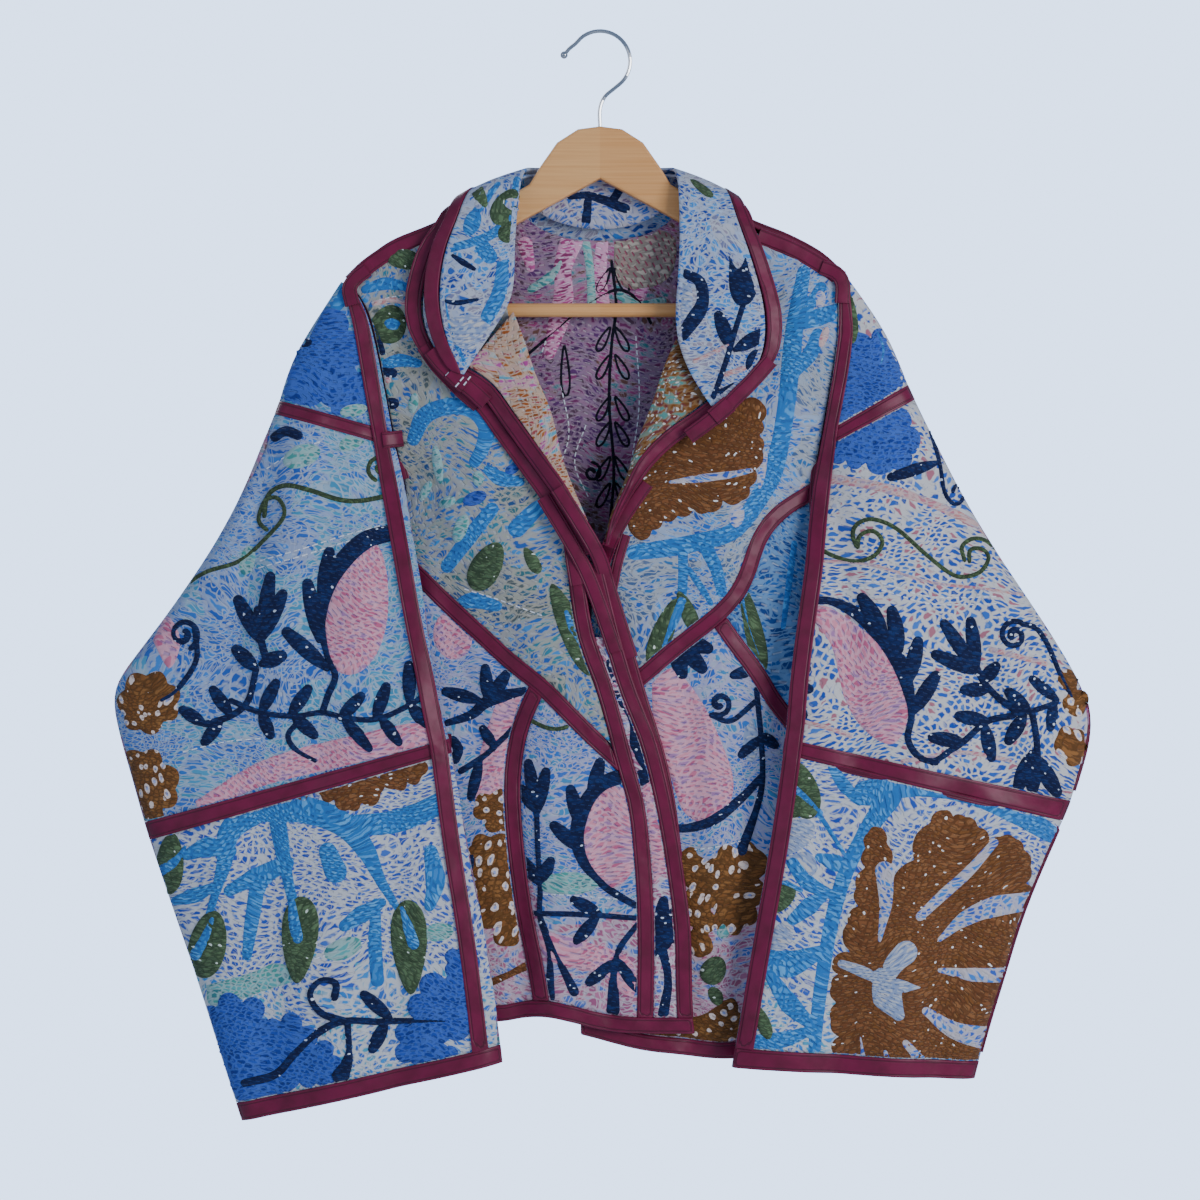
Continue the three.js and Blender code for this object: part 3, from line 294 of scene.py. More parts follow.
# The cloths of the patchwork. Each is printed cotton with its own marks and colours.
CLOTHS = {
    "blue_bloom_cloth": dict(
        colours=["#2448B0", "#2E5CC4", "#284FAE", "#3C6CCC"], other=["#4A90BC", "#3C74CC", "#4C9CC0"],
        line="#B4C2DC", line_share=0.4, line_width=0.14, squiggle=0.7, turn=60),
    "light_blue_cloth": dict(
        colours=["#2C60BC", "#3874CC", "#4A8CDC", "#3268C0"], other=["#4898C0", "#3878CC", "#56A4CC"],
        line="#CCD4DC", line_share=0.55, line_width=0.15, squiggle=0.7, turn=75, thread_share=0.3),
    "cream_and_blue_cloth": dict(
        colours=["#2E50B8", "#3C64C8", "#3258BC", "#4A74CC"],
        other=["#3A88D8", "#4898E0", "#50A8CC", "#3C74CC"], fade=(-780, -860), line="#DCDCDC",
        line_share=0.95, line_width=0.22, squiggle=0.6, turn=70, length=8.5, width=4.6, thread_share=0.25),
    "grey_lace_cloth": dict(
        colours=["#38608C", "#2C5286", "#4A6E80", "#3F747E", "#5A6668"],
        other=["#2F6CBC", "#2C60B0", "#4A90D0", "#3C88A0"], line="#BCB6A4", line_share=0.8, line_width=0.2,
        squiggle=0.7, turn=50, width=5, thread_share=0.25),
    "pink_and_blue_cloth": dict(
        colours=["#2F68C4", "#3A7AD0", "#4A94C8", "#4474CC"],
        other=["#B86C88", "#AC6084", "#C47C9C", "#5874C4"], fade=(-700, -780), line="#DCD0D8",
        line_share=0.6, line_width=0.16, squiggle=0.7, turn=75),
    "pink_strip_cloth": dict(
        colours=["#B86C88", "#AC6084", "#C4809C", "#5C78CC", "#A88CA8"], line="#E4D8E0", line_width=0.16,
        squiggle=0.5, turn=80),
    "sky_band_cloth": dict(
        colours=["#2C70CC", "#3A88DC", "#2858B0", "#4A98E4"],
        other=["#64789C", "#4C6894", "#2C62B8", "#3C78B4"], line="#CCCECC", line_share=0.65,
        line_width=0.17, squiggle=0.65, turn=60, thread_share=0.3),
    "deep_blue_cloth": dict(
        colours=["#1E4A90", "#2660A8", "#306CB8", "#1E4284"], line="#7CA4CC", line_width=0.15, squiggle=0.4,
        turn=70),
    "cream_dash_cloth": dict(
        colours=["#2450B4", "#2E60C4", "#3870CC", "#2A56B8", "#3464C0", "#2852B0", "#4A80D4", "#B87484"],
        line="#DAD7D6", line_share=1.0, line_width=0.22, turn=62, length=8.0, width=4.4, row=6,
        thread_share=0.12),
    "collar_blue_cloth": dict(
        colours=["#3A84D8", "#3464B8", "#284AA4", "#4A98E0"], other=["#8084AC", "#3464B8", "#A098AC"],
        line="#D4DAE2", line_share=0.7, line_width=0.17, squiggle=0.7, turn=70, thread_share=0.3),
    "rear_cloth": dict(
        colours=["#2F68C0", "#4084D4", "#5098DC", "#3A60B8"], other=["#7C829C", "#385CB8", "#4A9CBC"],
        line="#D8D6D4", line_share=0.65, line_width=0.17, squiggle=0.7, turn=75, thread_share=0.3),
    "plum_inside_cloth": dict(
        colours=["#54305F", "#663A72", "#7A3468", "#5E4258"],
        other=["#8A3A70", "#A84C80", "#4F8890", "#74504A"], line="#B898B0", line_share=0.6, squiggle=0.5,
        thread="#D8C8D2", thread_share=0.5, turn=80, row=4.6, patch=30),
    "orange_lapel_cloth": dict(
        colours=["#A85C2C", "#B46834", "#8E4E26", "#A84E50"],
        other=["#B84C94", "#C05CA0", "#60A8C0", "#A85C2C"], line="#E4CCB4", line_share=0.65, squiggle=0.5,
        thread="#E4D4C8", thread_share=0.45, turn=10, patch=20, length=9, width=3.2, row=4.4),
    "fleck_lapel_cloth": dict(
        colours=["#6A3C1A", "#7C4C22", "#5C301A", "#744422"], other=["#7C4C22", "#5C948E", "#783836"],
        line="#A4845C", line_share=0.45, fleck="#E0D8CC", fleck_share=0.6, turn=-35, patch=24, width=3.4),
    "stand_cloth": dict(
        colours=["#3A66BC", "#4A78C8", "#786890", "#4668BC"], line="#CCC8CE", squiggle=0.6, turn=20),
}
# The threads of the needlework. Chain stitch and filling stitch in cotton thread: matt, ridged.
THREADS = {
    "navy": dict(
        colours=["#15214C", "#19295A", "#121E45", "#1E3367"], line="#0E1737", line_share=0.5,
        thread="#304A8A", thread_share=0.5, fleck="#E7F1FF", fleck_share=0.2, length=8, width=3, row=4,
        relief=1.0, swirl=6),
    "ink": dict(
        colours=["#0F1225", "#16182C"], line="#0B0D1A", thread="#252A44", length=7, width=3, row=4,
        swirl=4),
    "leaf_green": dict(
        colours=["#50664A", "#5C7452", "#465A40", "#66805A"], line="#364530", line_share=0.6,
        thread="#84996F", thread_share=0.5, fleck="#F0FAEA", fleck_share=0.16, length=7, width=3, row=4,
        relief=1.0),
    "vine_green": dict(
        colours=["#4C5E3E", "#596E48", "#41523A"], line="#354330", thread="#7A8E5E", length=6, width=3,
        row=4, turn=10),
    "rose": dict(
        colours=["#DE7F9A", "#EA90A8", "#D26C8E", "#EE9CAE", "#B886B4"], line="#F2BCCA", line_share=0.7,
        thread="#7C7CC0", thread_share=0.4, length=7, width=3.4, row=4.6, turn=65, relief=1.0),
    "brown": dict(
        colours=["#8C5834", "#7C4C2C", "#98643C", "#84542C"], line="#5C381F", line_share=0.7,
        thread="#B47E50", thread_share=0.5, fleck="#FFFFFC", fleck_share=0.2, length=6.5, width=3, row=4.2,
        swirl=12, relief=1.2),
    "spotted_brown": dict(
        colours=["#8F5C30", "#9E6A3A", "#7E502A"], line="#5A3C1E", line_share=0.7, thread="#AC733F",
        spots=(11.0, "#F7E2D6", "#AAB4E1"), length=7, width=3.2, row=4.4, relief=1.0),
    "royal": dict(
        colours=["#20409E", "#284CB0", "#1C388E", "#3058BC"], line="#5078D0", line_share=0.7,
        thread="#5C84D8", thread_share=0.3, length=6.5, width=3, row=4.2, swirl=12, relief=1.2),
    "sky": dict(
        colours=["#4E9CE0", "#5CAAE8", "#4690D6", "#68B4EE"], line="#2F74C0", line_share=0.9,
        thread="#2C68B4", thread_share=0.6, length=6.5, width=3.4, row=4.4, relief=1.0, swirl=18),
    "cream": dict(
        colours=["#C6CAD3", "#BBC4D3", "#D1CFCF"], line="#7B96C6", line_share=0.7, thread="#5172B9",
        thread_share=0.5, length=12, width=3, row=4.6, swirl=16),
    "cornflower": dict(
        colours=["#3C62C4", "#4C76D4", "#C8C0C4", "#4488DC"], line="#D4CCD2", line_share=0.8, length=7,
        width=3.6),
    "teal": dict(colours=["#51A39C", "#63B2B4", "#42888D"], line="#AFCFCA", length=7, width=3.4),
    "magenta": dict(
        colours=["#AF4882", "#C35A96", "#913769"], line="#F0B4D2", line_share=0.8, thread="#FFDCF0",
        thread_share=0.9, length=12, width=3.4, turn=85, row=4.6),
    "coral": dict(
        colours=["#CA8291", "#D18F8D", "#B098B2"], line="#E0C4BF", line_share=0.8, length=7, width=3),
    "patch": dict(
        colours=["#C1B6A6", "#CFC3B1", "#AF938A", "#C3AC9F"], line="#8C8178", thread="#AC4365",
        thread_share=0.9, turn=20, row=5, length=8, width=4),
    "white": dict(colours=["#EBF0F9", "#E0E7F4"], line="#F2F4F9", thread="#F2F4F9", length=7, width=3),
}


# Drawing the needlework. Points are millimetres across and up from the hook.

def curve(points, step=3.0):
    """Points every few millimetres along a smooth line through the given ones."""
    p = np.array(points, float)
    p = np.vstack([2 * p[0] - p[1], p, 2 * p[-1] - p[-2]])
    out = []
    for a, b, c, d in zip(p[:-3], p[1:-2], p[2:-1], p[3:]):
        count = max(1, int(np.linalg.norm(c - b) / step))
        for i in range(count):
            t = i / count
            point = 2 * b + (c - a) * t + (2 * a - 5 * b + 4 * c - d) * t * t
            out.append(0.5 * (point + (3 * b - a - 3 * c + d) * t ** 3))
    out.append(p[-2])
    return np.array(out)


def band(points, *widths):
    """A rounded band along a smooth line, its width passing through the given ones."""
    line = curve(points)
    along = np.linspace(0, 1, len(line))
    wide = np.interp(along, np.linspace(0, 1, len(widths)), widths) / 2 if len(widths) > 1 else \
        np.full(len(line), widths[0] / 2)
    tangent = np.gradient(line, axis=0)
    tangent /= np.maximum(np.linalg.norm(tangent, axis=1), 1e-6)[:, None]
    normal = np.stack([-tangent[:, 1], tangent[:, 0]], 1)
    left = line + normal * wide[:, None]
    right = line - normal * wide[:, None]
    rounding = np.linspace(0, math.pi, 7)[1:-1]
    end = [line[-1] + wide[-1] * (normal[-1] * math.cos(a) + tangent[-1] * math.sin(a)) for a in rounding]
    start = [line[0] - wide[0] * (normal[0] * math.cos(a) + tangent[0] * math.sin(a)) for a in rounding]
    return np.vstack([left, end, right[::-1], start])


def bud(base, tip, width):
    """A long rounded leaf bud that swells from its base."""
    return band([base, tip], width * 0.4, width * 0.85, width, width * 0.95, width * 0.7)


def buds(width, *pairs):
    """Several buds, each a base and a tip."""
    return [bud(base, tip, width) for base, tip in pairs]


def curl(centre, radius, turns, start, hand, width):
    """A tendril that winds out from its centre."""
    angles = np.linspace(0, turns * 2 * math.pi, int(10 * turns) + 2)
    reach = radius * (0.22 + 0.78 * angles / angles[-1])
    turn = math.radians(start) + hand * (angles - angles[-1])
    points = np.stack([centre[0] + reach * np.cos(turn), centre[1] + reach * np.sin(turn)], 1)
    return band(points, width * 1.3, width, width)


def drop(centre, length, wide, lean, point=0.0):
    """A rounded drop. Lean is the angle of its tip from straight up, point how sharp the tip is."""
    angles = np.linspace(0, 2 * math.pi, 48, endpoint=False)
    up = np.cos(angles) * length / 2
    across = np.sin(angles) * wide / 2 * (1 - point * (np.cos(angles) + 1) / 2)
    c, s = math.cos(math.radians(lean)), math.sin(math.radians(lean))
    return np.stack([centre[0] + across * c + up * s, centre[1] + up * c - across * s], 1)


def bloom(centre, radius, petals, deep=0.3, turn=0.0):
    """A round flower head with lobed petals."""
    angles = np.linspace(0, 2 * math.pi, 24 * petals // 2, endpoint=False)
    reach = radius * (1 - deep + deep * np.abs(np.cos(petals * (angles - math.radians(turn)) / 2)) ** 0.7)
    return np.stack([centre[0] + reach * np.cos(angles), centre[1] + reach * np.sin(angles)], 1)


def scalloped(*corners, swell=0.38):
    """A leaf whose edge bulges in a round scallop between each corner and the next."""
    p = np.array(corners, float)
    area = sum(a[0] * b[1] - b[0] * a[1] for a, b in zip(p, np.roll(p, -1, axis=0)))
    out = []
    for a, b in zip(p, np.roll(p, -1, axis=0)):
        across = np.array([b[1] - a[1], a[0] - b[0]]) * (1 if area > 0 else -1)
        for t in np.linspace(0, 1, 8, endpoint=False):
            out.append(a + (b - a) * t + across * swell * math.sin(math.pi * t) ** 0.8)
    return np.array(out)


def shape(*corners):
    """A smooth closed shape through the corners."""
    return curve([*corners, corners[0]])[:-1]


def stitches(points, length=4.2, gap=3.6, width=1.1):
    """A row of running stitches along a smooth line."""
    line = curve(points, 1.0)
    run = np.concatenate([[0], np.cumsum(np.linalg.norm(np.diff(line, axis=0), axis=1))])
    out = []
    for start in np.arange(gap / 2, run[-1] - length, length + gap):
        ends = [[np.interp(s, run, line[:, 0]), np.interp(s, run, line[:, 1])]
                for s in (start, start + length)]
        out.append(band(ends, width))
    return out


def petal_loop(x, z, length, wide, lean):
    """The outline of one long petal in thread, its base at (x, z)."""
    c, s = math.cos(math.radians(lean)), math.sin(math.radians(lean))
    points = []
    for t in np.linspace(0, 2 * math.pi, 20):
        share = (1 - math.cos(t)) / 2
        down = -length * share
        across = wide / 2 * math.sin(t) * (0.35 + 0.65 * share)
        points.append((x + across * c - down * s, z + down * c + across * s))
    return band(points, 2.2)


# Making cloth from the frame's nodes

# Edges of the form that turn by more than the first angle, in degrees, stay folded, and edges of the
# finished cloth and of the tubes that turn by more than theirs look sharp.
FOLDED_ANGLE = 48
CLOTH_SHARP_ANGLE = 52
TUBE_SHARP_ANGLE = 60
# How far, in mm, quilted cloth dips where it goes under a binding, and how wide that dip is.
DIP = 0.55
DIP_WIDTH = 4.0
# Needlework, in mm: the steps between points on its edge and within it, the ring of points that
# rounds its edge, the width of that slope, and how deep the edge sinks into the cloth.
EDGE_STEP = 2.6
GRID_STEP = 4.5
RING_INSET = 1.2
GRID_INSET = 2.2
SLOPE_WIDTH = 1.4
SUNK = 0.15
# How far, in mm, each layer of needlework stands over the one below, outside and inside.
LAYER_STEP = 0.22
INSIDE_LIFT = 0.5
INSIDE_LAYER_STEP = 0.2
# Steps, in mm, between the points of a panel's outline.
BORDER_STEP = 3.0
# The value of edge_mm, in mm, where there is no edge near.
NO_EDGE = 9.0


def distance_to(path, x, z, closed=False):
    """How far, in mm, each point (x, z) is from a line of straight pieces."""
    a = np.array(path, float)
    b = np.roll(a, -1, axis=0)
    if not closed:
        a, b = a[:-1], b[:-1]
    best = np.full(len(x), 1e9)
    for (ax, az), (bx, bz) in zip(a, b):
        dx, dz = bx - ax, bz - az
        t = np.clip(((x - ax) * dx + (z - az) * dz) / max(dx * dx + dz * dz, 1e-9), 0, 1)
        best = np.minimum(best, np.hypot(x - ax - t * dx, z - az - t * dz))
    return best


def drape(zone, x, z):
    """How far, in mm, the cloth of a zone swells out at (x, z): its folds, then its small puckers."""
    out = np.zeros(len(x))
    for height, width, path in FOLDS[zone]:
        out += height * np.exp(-(distance_to(path, x, z) / width) ** 2)
    sizes = bpy.context.scene.jacket_sizes
    ripple = np.sin(0.37 * z + 1.9 * np.sin(0.09 * x + 0.05 * z))
    ripple *= np.sin(0.31 * x + 1.4 * np.sin(0.11 * z))
    wave = np.sin(0.071 * x + 0.9 * np.sin(0.043 * z) + 0.6) * np.sin(0.052 * z + 1.1 * np.sin(0.037 * x))
    return out + (sizes.pucker * ripple + sizes.wave * wave) / MM


def outline_of(shell, facing):
    """The outline, in mm, of the side of a closed shell that faces the front or the rear."""
    near = {}
    for face in shell.faces:
        if face.normal.y * facing > 0.2:
            for loop in face.loops:
                near.setdefault(loop.edge, []).append(loop)
    following = {}
    for edge, loops in near.items():
        if len(loops) == 1:
            following.setdefault(loops[0].vert, []).append(loops[0].link_loop_next.vert)
    best = []
    while following:
        start = next(iter(following))
        path, at = [], start
        while at in following:
            path.append((at.co.x / MM, at.co.z / MM))
            ways = following[at]
            after = ways.pop()
            if not ways:
                del following[at]
            at = after
            if at == start:
                break
        if len(path) > len(best):
            best = path
    return np.array(best)


def cloth_from(node, zone, level, cloth, inside=None, facing=FRONT, proud=0.15, rounded=0.0):
    """A soft, closed shell on a node's form, smoothed, draped and given its cloths."""
    shell = bmesh.new()
    shell.from_mesh(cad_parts[node].data)
    bmesh.ops.remove_doubles(shell, verts=shell.verts, dist=0.01 * MM)
    bmesh.ops.join_triangles(shell, faces=shell.faces[:], angle_face_threshold=math.radians(40),
                             angle_shape_threshold=math.radians(50))
    shell.normal_update()
    outlines[node] = outline_of(shell, facing)
    sharpness = shell.edges.layers.float.new("crease_edge")
    for edge in shell.edges:
        if len(edge.link_faces) == 2 and edge.calc_face_angle() > math.radians(FOLDED_ANGLE):
            edge[sharpness] = 1.0
    mesh = bpy.data.meshes.new(node + "_cloth")
    shell.to_mesh(mesh)
    shell.free()
    mesh.materials.clear()
    mesh.materials.append(cloth)
    piece = bpy.data.objects.new(node + "_cloth", mesh)
    bpy.context.scene.collection.objects.link(piece)
    smooth = piece.modifiers.new("soft", "SUBSURF")
    smooth.levels = level
    smooth.boundary_smooth = "PRESERVE_CORNERS"
    if rounded:
        roll = piece.modifiers.new("rolled edge", "BEVEL")
        roll.width = rounded * MM
        roll.segments = 2
        roll.limit_method = "ANGLE"
        roll.angle_limit = math.radians(FOLDED_ANGLE)
    graph = bpy.context.evaluated_depsgraph_get()
    final = bpy.data.meshes.new_from_object(piece.evaluated_get(graph))
    piece.modifiers.clear()
    piece.data = final
    final.name = node + "_cloth"
    count = len(final.vertices)
    points = np.empty(count * 3)
    final.vertices.foreach_get("co", points)
    points = points.reshape(-1, 3)
    normals = np.empty(count * 3)
    final.vertices.foreach_get("normal", normals)
    normals = normals.reshape(-1, 3)
    x, z = points[:, 0] / MM, points[:, 2] / MM
    swell = drape(zone, x, z)
    if len(outlines[node]) > 3:
        edge = distance_to(outlines[node], x, z, closed=True)
    else:
        edge = np.full(count, 99.0)
    if inside is not None:
        # The quilted cloth dips where it goes under a binding.
        swell -= DIP * np.exp(-(edge / DIP_WIDTH) ** 2)
    points += normals * proud * MM
    points[:, 1] += facing * swell * MM
    final.vertices.foreach_set("co", points.ravel())
    layer = final.attributes.new("edge_mm", "FLOAT", "POINT")
    layer.data.foreach_set("value", edge)
    if inside is not None:
        final.materials.append(inside)
        across = np.empty(len(final.polygons) * 3)
        final.polygons.foreach_get("normal", across)
        hidden = (across.reshape(-1, 3)[:, 1] * facing < 0).astype(np.int32)
        final.polygons.foreach_set("material_index", hidden)
    final.polygons.foreach_set("use_smooth", np.ones(len(final.polygons), bool))
    final.set_sharp_from_angle(angle=math.radians(CLOTH_SHARP_ANGLE))
    final.update()
    surfaces[node] = BVHTree.FromPolygons([Vector(p) for p in points],
                                          [tuple(f.vertices) for f in final.polygons])
    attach(piece, "root")
    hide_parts(node)
    made[node] = piece
    return piece


def inside_of(points, polygon):
    """Which points lie inside a polygon that may cross itself."""
    x, z = points[:, 0][:, None], points[:, 1][:, None]
    ax, az = polygon[:, 0], polygon[:, 1]
    bx, bz = np.roll(polygon, -1, axis=0).T
    left = (bx - ax) * (z - az) - (x - ax) * (bz - az)
    rising = ((az <= z) & (bz > z) & (left > 0)).sum(1)
    falling = ((az > z) & (bz <= z) & (left < 0)).sum(1)
    return rising != falling


def within(points, shapes):
    """Which points lie in any of the shapes."""
    found = np.zeros(len(points), bool)
    for outline in shapes:
        low, high = outline.min(0), outline.max(0)
        some = np.flatnonzero(~found & (points >= low).all(1) & (points <= high).all(1))
        if len(some):
            found[some] = inside_of(points[some], outline)
    return found


def spaced(outline, step):
    """Points evenly spaced round a closed outline."""
    closed = np.vstack([outline, outline[:1]])
    run = np.concatenate([[0], np.cumsum(np.linalg.norm(np.diff(closed, axis=0), axis=1))])
    marks = np.linspace(0, run[-1], max(6, int(run[-1] / step)), endpoint=False)
    return np.stack([np.interp(marks, run, closed[:, 0]), np.interp(marks, run, closed[:, 1])], 1)


def inset(outline, reach):
    """The outline's points moved in by the same reach."""
    after, before = np.roll(outline, -1, axis=0), np.roll(outline, 1, axis=0)
    along = after - before
    along /= np.maximum(np.linalg.norm(along, axis=1), 1e-6)[:, None]
    area = np.sum(outline[:, 0] * after[:, 1] - after[:, 0] * outline[:, 1])
    return outline + np.sign(area) * reach * np.stack([-along[:, 1], along[:, 0]], 1)


def lay_on(panel, name, shapes, material, lift, facing=FRONT, domed=True, margin=0.5):
    """Lays flat shapes on a panel's surface as raised needlework whose edge sinks into the cloth."""
    shapes = [spaced(s, EDGE_STEP) if domed else s for s in shapes]
    border = inset(spaced(outlines[panel], BORDER_STEP), margin)
    corners, edges = [], []
    for outline in [border, *shapes]:
        first = sum(len(c) for c in corners)
        corners.append(outline)
        edges += [(first + i, first + (i + 1) % len(outline)) for i in range(len(outline))]
    extra = []
    if domed:
        rims = np.vstack([inset(s, RING_INSET) for s in shapes])
        extra.append(rims[within(rims, shapes)])
        low, high = np.vstack(shapes).min(0), np.vstack(shapes).max(0)
        across, up = np.meshgrid(np.arange(low[0], high[0], GRID_STEP),
                                 np.arange(low[1], high[1], GRID_STEP))
        across[1::2] += GRID_STEP / 2
        spread = np.stack([across.ravel(), up.ravel()], 1)
        extra.append(spread[within(spread, [inset(s, GRID_INSET) for s in shapes])])
    flat = np.vstack(corners + extra)
    flat, _, faces, _, _, _ = delaunay_2d_cdt([Vector(p) for p in flat], edges, [], 0, 1e-3)
    flat = np.array(flat)
    faces = [f for f in faces if len(f) == 3]
    middles = flat[np.array(faces)].mean(1)
    keep = within(middles, shapes)
    keep &= inside_of(middles, border)
    faces = [f for f, k in zip(faces, keep) if k]
    if not faces:
        raise RuntimeError(f"nothing of {name} lies on {panel}")
    used = sorted({i for f in faces for i in f})
    renamed = {old: new for new, old in enumerate(used)}
    flat = flat[used]
    faces = [tuple(renamed[i] for i in f) for f in faces]
    raise_by = np.ones(len(flat))
    if domed:
        shared = {}
        for f in faces:
            for a, b in zip(f, f[1:] + f[:1]):
                shared[frozenset((a, b))] = shared.get(frozenset((a, b)), 0) + 1
        rim = sorted({i for pair, uses in shared.items() if uses == 1 for i in pair})
        tree = KDTree(len(rim))
        for i in rim:
            tree.insert((*flat[i], 0), i)
        tree.balance()
        far = np.array([tree.find((*p, 0))[2] for p in flat])
        raise_by = np.clip(far / SLOPE_WIDTH, 0, 1) ** 0.6
    points = []
    for (x, z), share in zip(flat, raise_by):
        start = Vector((x * MM, facing * 1.0, z * MM))
        hit, normal, _, _ = surfaces[panel].ray_cast(start, Vector((0, -facing, 0)))
        if hit is None:
            near, normal, _, _ = surfaces[panel].find_nearest(Vector((x * MM, facing * 0.05, z * MM)))
            hit = Vector((x * MM, near.y, z * MM))
        if normal.y * facing < 0.2:
            normal = Vector((0, facing, 0))
        height = (lift + SUNK) * share - SUNK
        points.append(hit + normal * height * MM)
    turned = faces if facing == FRONT else [f[::-1] for f in faces]
    mesh = bpy.data.meshes.new(name)
    mesh.from_pydata(points, [], turned)
    layer = mesh.attributes.new("edge_mm", "FLOAT", "POINT")
    layer.data.foreach_set("value", np.full(len(points), NO_EDGE))
    mesh.materials.append(material)
    mesh.polygons.foreach_set("use_smooth", np.ones(len(mesh.polygons), bool))
    mesh.update()
    piece = bpy.data.objects.new(name, mesh)
    bpy.context.scene.collection.objects.link(piece)
    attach(piece, "root")
    made[name] = piece
    homes.setdefault(panel, []).append(name)


def flattened(shapes):
    """A list of single shapes from one that holds some lists of shapes."""
    out = []
    for s in shapes:
        out += s if isinstance(s, list) else [s]
    return out


def work(panel, layers, facing=FRONT, margin=0.5):
    """Works each layer of needlework on a panel, from the lowest up, inside a margin."""
    lowest = bpy.context.scene.jacket_sizes.thread_height / MM
    border = inset(spaced(outlines[panel], BORDER_STEP), margin + 2)
    for order, (thread, shapes) in enumerate(layers):
        shapes = [s for s in flattened(shapes) if within(s, [border]).any()]
        if shapes:
            lay_on(panel, f"{panel}_{thread}_{order + 1}", shapes, threads[thread],
                   lowest + LAYER_STEP * order, facing, domed=thread != "white", margin=margin)


# What a user may change

class JacketSizes(bpy.types.PropertyGroup):
    pucker: bpy.props.FloatProperty(
        name="Pucker", description="Height of the small puckers that the quilting makes",
        default=0.36 * MM, unit="LENGTH")
    wave: bpy.props.FloatProperty(
        name="Wave", description="Height of the slow waves in the hanging cloth",
        default=0.8 * MM, unit="LENGTH")
    thread_height: bpy.props.FloatProperty(
        name="Thread height", description="How far the lowest needlework stands off the cloth",
        default=0.5 * MM, unit="LENGTH")
    binding_roll: bpy.props.FloatProperty(
        name="Binding roll", description="Radius of the bindings' folded edges",
        default=0.9 * MM, unit="LENGTH")
    bound_edge: bpy.props.FloatProperty(
        name="Bound edge", description="Width of the bound seam along the right sleeve's outer edge",
        default=6.0 * MM, unit="LENGTH")
    hook_ball: bpy.props.FloatProperty(
        name="Hook ball", description="Diameter of the ball on the hook's tip",
        default=6.4 * MM, unit="LENGTH")
    floor_drop: bpy.props.FloatProperty(
        name="Floor drop", description="Depth of the floor below the hook",
        default=1.5, unit="LENGTH")


class JacketColours(bpy.types.PropertyGroup):
    binding: bpy.props.FloatVectorProperty(
        name="Binding", description="The satin binding", subtype="COLOR", default=linear("#7E1240")[:3])
    binding_shade: bpy.props.FloatVectorProperty(
        name="Binding shade", description="The satin where it turns from the light", subtype="COLOR",
        default=linear("#5A0D2A")[:3])
    wood_light: bpy.props.FloatVectorProperty(
        name="Light wood", description="The hanger's lighter half", subtype="COLOR",
        default=linear("#FFC07A")[:3])
    wood_dark: bpy.props.FloatVectorProperty(
        name="Dark wood", description="The grain and the darker half", subtype="COLOR",
        default=linear("#E89A52")[:3])
    hook: bpy.props.FloatVectorProperty(
        name="Hook", description="The polished hook", subtype="COLOR", default=linear("#C6C9CE")[:3])
    backdrop: bpy.props.FloatVectorProperty(
        name="Backdrop", description="The pale room round the jacket", subtype="COLOR",
        default=linear("#B6CEF4")[:3])
    floor: bpy.props.FloatVectorProperty(
        name="Floor", description="The pale floor", subtype="COLOR", default=linear("#E2E6EB")[:3])


# Folds: (height, width, line) in mm. A trough has a height below nothing. Each lies where the
# hanging cloth turns: down the sleeves from the shoulders, and down the fronts from the chest.
FOLDS = {
    "left_sleeve": [
        (-5.5, 13, [(-284, -358), (-299, -455), (-311, -540)]),
        (4.5, 20, [(-255, -344), (-265, -455), (-275, -565)]),
        (-4.5, 13, [(-194, -353), (-184, -455), (-172, -565)]),
        (-3.5, 15, [(-230, -489), (-236, -574), (-241, -625)]),
        (3.5, 24, [(-221, -659), (-228, -761), (-217, -897)]),
        (-4, 16, [(-287, -659), (-275, -786), (-279, -922)]),
        (-4, 15, [(-170, -650), (-173, -769), (-168, -905)]),
        (3, 16, [(-336, -625), (-321, -744), (-309, -897)])],
    "right_sleeve": [
        (4, 24, [(228, -344), (251, -489), (276, -642)]),
        (-4.5, 14, [(194, -378), (209, -497), (218, -625)]),
        (-4, 15, [(298, -438), (321, -540), (343, -642)]),
        (3.5, 18, [(332, -472), (360, -557), (384, -642)]),
        (3.5, 24, [(255, -659), (250, -786), (255, -897)]),
        (-4, 15, [(304, -659), (298, -778), (284, -897)]),
        (-4, 14, [(187, -676), (196, -786), (201, -897)])],
    "left_front": [
        (3.5, 20, [(-110, -336), (-85, -455), (-37, -574)]),
        (-4, 14, [(-146, -404), (-126, -506), (-102, -625)]),
        (3.5, 15, [(-44, -625), (-41, -744), (-34, -846)]),
        (-4, 11, [(-78, -574), (-73, -701), (-66, -846)]), (-3, 10, [(0, -625), (5, -744), (10, -846)]),
        (-2.5, 10, [(-60, -378), (-41, -455), (-8, -531)])],
    "right_front": [
        (-4.5, 14, [(151, -378), (151, -506), (158, -625)]),
        (4, 22, [(104, -421), (99, -574), (104, -727)]),
        (-4.5, 12, [(129, -574), (128, -710), (121, -863)]), (-3, 12, [(76, -574), (80, -710), (76, -863)]),
        (2.5, 14, [(170, -225), (170, -302), (162, -370)])],
    "back": [
        (4, 34, [(-110, -234), (-126, -506), (-136, -829)]),
        (4, 34, [(110, -234), (121, -506), (129, -829)]),
        (-4.5, 22, [(-68, -336), (-75, -574), (-81, -854)]),
        (-4.5, 22, [(61, -336), (71, -574), (76, -854)]), (4, 30, [(0, -319), (0, -574), (0, -863)])],
    "collar": [
        (1.2, 14, [(-110, -140), (-123, -217), (-119, -285)]),
        (1.2, 14, [(115, -149), (136, -234), (119, -310)])],
}

